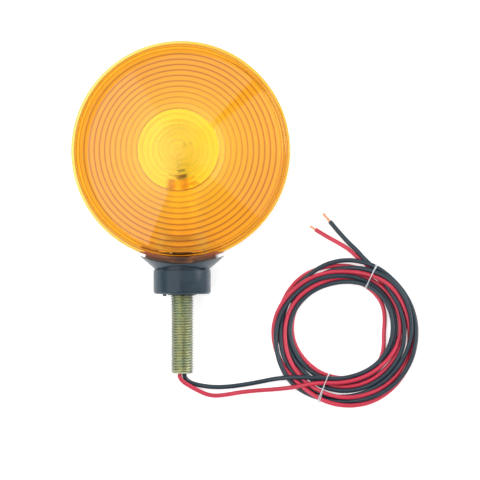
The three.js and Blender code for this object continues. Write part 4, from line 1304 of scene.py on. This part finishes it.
def shell_mesh():
    """A thin cup with a J window in each side for a pin to go down, turn and seat."""
    profile = looped(rounded([
        (LEAD_HOLE, SHELL_BOTTOM, 0), (SHELL_OUT, SHELL_BOTTOM, 0.7), (SHELL_OUT, SHELL_TOP, 0.3),
        (SHELL_IN, SHELL_TOP, 0.3), (SHELL_IN, BASE_BOTTOM - GAP, 0.2), (LEAD_HOLE, BASE_BOTTOM - GAP, 0),
    ]))
    shell = turn_mesh(profile, socket_tin, 72)
    half = PIN_RADIUS + GAP
    top, bottom = PIN_Y + half, PIN_Y - half - PUSH
    cuts = []
    for side in (0, 180):
        for angle in range(0, TURN + 1, WINDOW_STEP):
            reach_top = SHELL_TOP + 1 if angle == TURN else top
            window = box_mesh((SHELL_IN - WINDOW_REACH, bottom, -half),
                              (SHELL_IN + WINDOW_REACH, reach_top, half))
            window.transform(Matrix.Rotation(math.radians(side + angle), 4, "Y"))
            cuts.append(("DIFFERENCE", window))
    return carve(shell, *cuts)


base = turn_mesh(ring_profile(LEAD_HOLE, PLUNGER_RADIUS, BASE_BOTTOM, BASE_TOP), brown_phenolic)
disc = turn_mesh(ring_profile(PLUNGER_HOLE, PLUNGER_RADIUS, PLUNGER_BOTTOM, PLUNGER_TOP), brown_phenolic)
rivet = turn_mesh(rounded([
    (0, RIVET_BOTTOM, 0), (RIVET_RADIUS, RIVET_BOTTOM, 0.3), (RIVET_RADIUS, RIVET_TOP, 0.7),
    (0, RIVET_TOP, 0),
]), bright_brass)
tag = carve(box_mesh(*reach("ground_tag")), bevel=0.12)
add_piece("bayonet_shell", shell_mesh(), "lamp_body", socket_tin, ["socket_shell"])
add_piece("insulating_base", base, "lamp_body", brown_phenolic, ["socket_base"])
add_piece("solder_tag", tag, "lamp_body", bright_brass, ["ground_tag"])
add_piece("sliding_disc", disc, "plunger", brown_phenolic, ["contact_plunger"])
add_piece("contact_rivet", rivet, "plunger", bright_brass, ["plunger_contact"])

SPRING_TURNS, SPRING_RADIUS, SPRING_WIRE = 3.5, 5.0, 0.35
SPRING_LOW, SPRING_HIGH = BASE_TOP + GAP, PLUNGER_BOTTOM - GAP
CARRIER = [(0, 0), (1, 0)]             # a tree that makes its own curve only needs something to sit on


def spring_mesh():
    """A compression spring between the base and the sliding disc."""
    made = realise(polyline(CARRIER), (WOUND, {
        "Turns": SPRING_TURNS, "Radius": SPRING_RADIUS, "Length": SPRING_HIGH - SPRING_LOW - 2 * SPRING_WIRE,
        "Wire Radius": SPRING_WIRE, "Points per Turn": 40, "Material": spring_wire,
    }))
    made.transform(Matrix.Translation((0, SPRING_LOW + SPRING_WIRE, 0)) @ Y_AXIS)
    return made


spring = add_piece("contact_spring", spring_mesh(), "lamp_body", spring_wire,
                   ["plunger_spring"])
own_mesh(spring)

# ---------------------------------------------------------------- bulb

BULB_Y, BULB_RADIUS, BULB_WALL = 3, 13.2, 0.9
BULB_FROM = -42                        # degrees below its widest at which the globe leaves its waist
CAP_RADIUS, CAP_WALL, CAP_TOP, CAP_BOTTOM = 7.5, 0.4, -13.5, -29.5
CAP_FLOOR = CAP_BOTTOM + 1.5
PIN_REACH = 8.9
FILAMENT_Y, FILAMENT_HALF, FILAMENT_SHORT = 3.5, 3.6, 0.55
FILAMENT_TURNS, FILAMENT_RADIUS, FILAMENT_WIRE, FILAMENT_SAG = 14.0, 0.33, 0.09, -1.1
STEM_PROFILE = [                       # radius, height and corner size
    (0, -15.5, 0), (4.6, -15.5, 0.3), (2.6, -12.5, 1.2), (1.3, -9, 1.2), (1.3, -3, 0.5), (0, -3, 0),
]
SOLDER_DROP = [(0, 1.2), (0.8, 1.12), (1.6, 0.8), (2.2, 0), (0, 0)]     # radius, and depth under the cap
SUPPORT_WIRE = 0.5
SUPPORT_FOOT, SUPPORT_KNEE = (1.9, -8.5), (2.3, -4)
STRAND_SPACING = 0.25


def globe_mesh():
    """A thin globe that narrows to a neck inside the cap."""
    neck = CAP_RADIUS - CAP_WALL - GAP
    outer = arc((0, BULB_Y), BULB_RADIUS, BULB_FROM, 90, 32)
    inner = arc((0, BULB_Y), BULB_RADIUS - BULB_WALL, 90, BULB_FROM, 32)
    outer[-1], inner[0] = (0, BULB_Y + BULB_RADIUS), (0, BULB_Y + BULB_RADIUS - BULB_WALL)
    waist = [(neck, CAP_TOP - 3), (neck, CAP_TOP + 1), (neck + 0.6, CAP_TOP + 2.6)]
    inner_waist = [(r - BULB_WALL, y) for r, y in reversed(waist)]
    return turn_mesh(looped(waist + outer + inner + inner_waist), bulb_clear, 64)


def cap_mesh():
    """A brass cup with two bayonet pins."""
    inside = CAP_RADIUS - CAP_WALL
    cup = turn_mesh(rounded([
        (0, CAP_BOTTOM, 0), (CAP_RADIUS, CAP_BOTTOM, 1.0), (CAP_RADIUS, CAP_TOP, 0.1), (inside, CAP_TOP, 0.1),
        (inside, CAP_FLOOR, 0), (0, CAP_FLOOR, 0),
    ]), bright_brass)
    pins = turn_mesh(disc_profile(PIN_RADIUS, -PIN_REACH, PIN_REACH, 0.3), bright_brass, 24)
    pins.transform(Matrix.Translation((0, PIN_Y, 0)) @ Matrix.Rotation(math.radians(90), 4, "Z"))
    hollow = drill(inside, CAP_FLOOR, CAP_TOP - 2, bright_brass, 64)
    return carve(cup, ("UNION", carve(pins, ("DIFFERENCE", hollow))))


def filament_mesh():
    """A fine coil across the globe that sags in its middle."""
    length = 2 * (FILAMENT_HALF - FILAMENT_SHORT)
    made = realise(polyline(CARRIER), (WOUND, {
        "Turns": FILAMENT_TURNS, "Radius": FILAMENT_RADIUS, "Length": length, "Wire Radius": FILAMENT_WIRE,
        "Sag": FILAMENT_SAG, "Points per Turn": 14, "Material": dark_tungsten,
    }))
    quarter = math.radians(90)
    across = Matrix.Rotation(quarter, 4, "Y") @ Matrix.Rotation(quarter, 4, "Z")
    made.transform(Matrix.Translation((-length / 2, FILAMENT_Y, 0)) @ across)
    return made


def wire_between(points, diameter, material, count=1, lay=0.0, twist=0.0, spacing=STRAND_SPACING):
    """One straight or bent wire, or a few twisted together, along points in millimetres."""
    return realise(polyline(points), (STRANDS, {
        "Count": count, "Core": 1 if count != 2 else 0, "Lay Radius": lay, "Wire Radius": diameter / 2,
        "Twist": twist, "Spacing": spacing, "Material": material,
    }))


solder = turn_mesh([(radius, CAP_BOTTOM - GAP - depth) for radius, depth in SOLDER_DROP], dull_solder, 32)
stem = turn_mesh(rounded(STEM_PROFILE), bulb_clear, 40)
add_piece("glass_globe", globe_mesh(), "bulb", bulb_clear, ["bulb_glass"])
add_piece("bayonet_cap", cap_mesh(), "bulb", bright_brass, ["bulb_cap"])
add_piece("solder_tip", solder, "bulb", dull_solder, ["bulb_contact"])
add_piece("glass_stem", stem, "bulb", bulb_clear, ["bulb_stem"])
add_piece("coiled_filament", filament_mesh(), "bulb", dark_tungsten, ["bulb_filament"])
for side, word in ((-1, "left"), (1, "right")):
    corners = (SUPPORT_FOOT, SUPPORT_KNEE, (FILAMENT_HALF, FILAMENT_Y - 2), (FILAMENT_HALF, FILAMENT_Y + 0.4))
    wire = wire_between([(side * x, y, 0) for x, y in corners], SUPPORT_WIRE, spring_wire)
    add_piece(f"support_{word}", wire, "bulb", spring_wire, [f"support_wire_{word}"])

# ---------------------------------------------------------------- leads inside, bare ends and ties

for name, colour, slot_name in (("red_lead_inside", red_insulation, "red_pvc"),
                                ("black_lead_inside", black_insulation, "black_pvc")):
    low, high = reach(name)
    middle = (low + high) / 2
    radius = (high.x - low.x) / 2
    tube = turn_mesh(disc_profile(radius, low.y, high.y, 0.12), colour, 24)
    tube.transform(Matrix.Translation((middle.x, 0, middle.z)))
    add_piece(name.replace("lead_inside", "wire_in_stud"), tube, "lamp_body", colour, [name])

COPPER_STRANDS = 7                     # one in the middle and six round it, so three lie across the bundle
COPPER_TWIST, COPPER_SPACING = 0.07, 0.2
STRAND_LOOSENESS = 1.02
TUCKED_IN, PAST_END = 0.2, 0.2


def bare_end(name, path, length, bundle, node_name):
    """Twisted copper strands that come straight out of a lead's insulation."""
    last, before = Vector(path[-1]), Vector(path[-2])
    along = (last - before).normalized()
    strand = bundle / 3
    points = [tuple(last + along * step) for step in np.linspace(-TUCKED_IN, length + PAST_END, 7)]
    mesh = wire_between(points, strand, bare_copper, COPPER_STRANDS, strand * STRAND_LOOSENESS,
                        COPPER_TWIST, COPPER_SPACING)
    add_piece(name, mesh, "lamp_body", bare_copper, [node_name], SURFACE_FROM_MM)


bare_end("red_strands", RED_PATH, 3, 1.1, "red_bare_end")
bare_end("black_strands", BLACK_PATH, 5, 1.3, "black_bare_end")

TIE_WIRE, TIE_CLEARANCE, TIE_FOOT = 0.42, 0.08, 0.1
ON_SURFACE = 0.01                      # what is raised less than this lies on the surface
TIE_LAY, TIE_TWIST, TIE_SPACING = 0.36, 0.022, 0.5     # two wires twisted together
TIES = {"tie_upper": 65, "tie_lower": 250}             # degrees round the coil


def hull(points):
    """The outline of the points, anticlockwise."""
    ordered = sorted(set(points))
    halves = []
    for run in (ordered, ordered[::-1]):
        side = []
        for spot in run:
            while len(side) > 1 and cross(side[-2], side[-1], spot) <= 0:
                side.pop()
            side.append(spot)
        halves += side[:-1]
    return halves


def cross(a, b, c):
    """Above zero if c lies to the left of the way from a to b."""
    return (b[0] - a[0]) * (c[1] - a[1]) - (b[1] - a[1]) * (c[0] - a[0])


def tie_path(angle):
    """A hoop drawn tight over every strand that passes this angle, open at the surface."""
    spots = []
    for strand in (red_coil, black_coil):
        here = (strand["step"] * COIL_STEP) % 360 == angle
        for radius, height in zip(strand["radius"][here], strand["height"][here]):
            spots += arc((radius, height), strand["half"] + TIE_WIRE / 2 + TIE_CLEARANCE, 0, 345, 23)
    lowest = TIE_WIRE / 2
    around = hull([(round(r, 3), round(z, 3)) for r, z in spots])
    around = sorted((r, max(z, lowest)) for r, z in around)
    raised = [spot for spot in around if spot[1] > lowest + ON_SURFACE]
    inner, outer = raised[0], raised[-1]
    over = [spot for spot in around if cross(inner, outer, spot) > 0]
    foot = lowest + TIE_FOOT
    path = [(inner[0], foot), inner] + over + [outer, (outer[0], foot)]
    return [on_coil(angle, radius, height) for radius, height in path]


for name, angle in TIES.items():
    tie = wire_between(tie_path(angle), TIE_WIRE, silvery_tie, 2, TIE_LAY, TIE_TWIST, TIE_SPACING)
    add_piece("wire_" + name, tie, "lamp_body", silvery_tie, [name], SURFACE_FROM_MM)

# ---------------------------------------------------------------- leads as cords

for wire, path, diameter, colour in ((red_lead, RED_PATH, RED_DIAMETER, "red"),
                                     (black_lead, BLACK_PATH, BLACK_DIAMETER, "black")):
    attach(wire, "lamp_body")
    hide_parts(f"{colour}_lead", f"{colour}_tail", "lead_coil")

# ---------------------------------------------------------------- floor, light and finish

FLOOR_GLOW = 0.5
FLOOR_HALF = 3
WORLD_GLOW = 0.36
FAN_DISTANCE, FAN_REACH = 1.7, 3.3     # how far a card is from the lenses, and how far it spreads
FAN_CARDS = {                          # from and to, in degrees round the lens, and how bright
    "left_card": (124, 246, 2.2), "upper_card": (49, 124, 1.35), "dark_card": (41, 49, 0.0),
    "right_card": (-42, 41, 1.1),
}
SOFTBOX_PLACE, SOFTBOX_TARGET = (1.6, 0.5, 0.55), (0, 0, 0.02)
SOFTBOX_SIZE, SOFTBOX_POWER = (1.2, 0.7), 16


def add_sheet(name, outline, colour, glow):
    """A flat, evenly glowing sheet of the surroundings."""
    mesh = bpy.data.meshes.new(name)
    mesh.from_pydata(outline, [], [tuple(range(len(outline)))])
    material, tree, shader = new_material(name)
    shader["Base Color"].default_value = colour
    shader["Roughness"].default_value = 0.7
    shader["Emission Color"].default_value = (1, 1, 1, 1)
    shader["Emission Strength"].default_value = glow
    mesh.materials.append(material)
    linked(name, mesh)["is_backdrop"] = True


def add_fan_card(name, from_degrees, to_degrees, glow):
    """A fan-shaped card behind the camera that the domed lens reflects as a fan."""
    outline = [(0, 0)] + arc((0, 0), FAN_REACH, from_degrees, to_degrees, 12)
    add_sheet(name, [LAMP @ Vector((x, y, FAN_DISTANCE)) for x, y in outline[::-1]], tone(0, 0, 0), glow)


def add_softbox(name, place, target, width, height, power):
    """A rectangular light that faces its target."""
    data = bpy.data.lights.new(name, "AREA")
    data.shape = "RECTANGLE"
    data.size = width
    data.size_y = height
    data.energy = power
    made = linked(name, data)
    place, target = Vector(place), Vector(target)
    turn = (target - place).to_track_quat("-Z", "Y").to_matrix().to_4x4()
    made.matrix_world = Matrix.Translation(place) @ turn
    made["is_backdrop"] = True


def add_world():
    """Even white light from everywhere."""
    world = bpy.data.worlds.new("world")
    world.use_nodes = True
    background = world.node_tree.nodes["Background"].inputs
    background["Color"].default_value = (1, 1, 1, 1)
    background["Strength"].default_value = WORLD_GLOW
    bpy.context.scene.world = world


floor_corners = [(x * FLOOR_HALF, y * FLOOR_HALF, 0) for x, y in ((-1, -1), (1, -1), (1, 1), (-1, 1))]
add_sheet("floor", floor_corners, tone(0.78, 0.78, 0.78), FLOOR_GLOW)
for name, (from_degrees, to_degrees, glow) in FAN_CARDS.items():
    add_fan_card(name, from_degrees, to_degrees, glow)
add_softbox("right_side", SOFTBOX_PLACE, SOFTBOX_TARGET, *SOFTBOX_SIZE, SOFTBOX_POWER)
add_world()
bpy.context.scene.view_settings.view_transform = "Standard"

low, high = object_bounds()
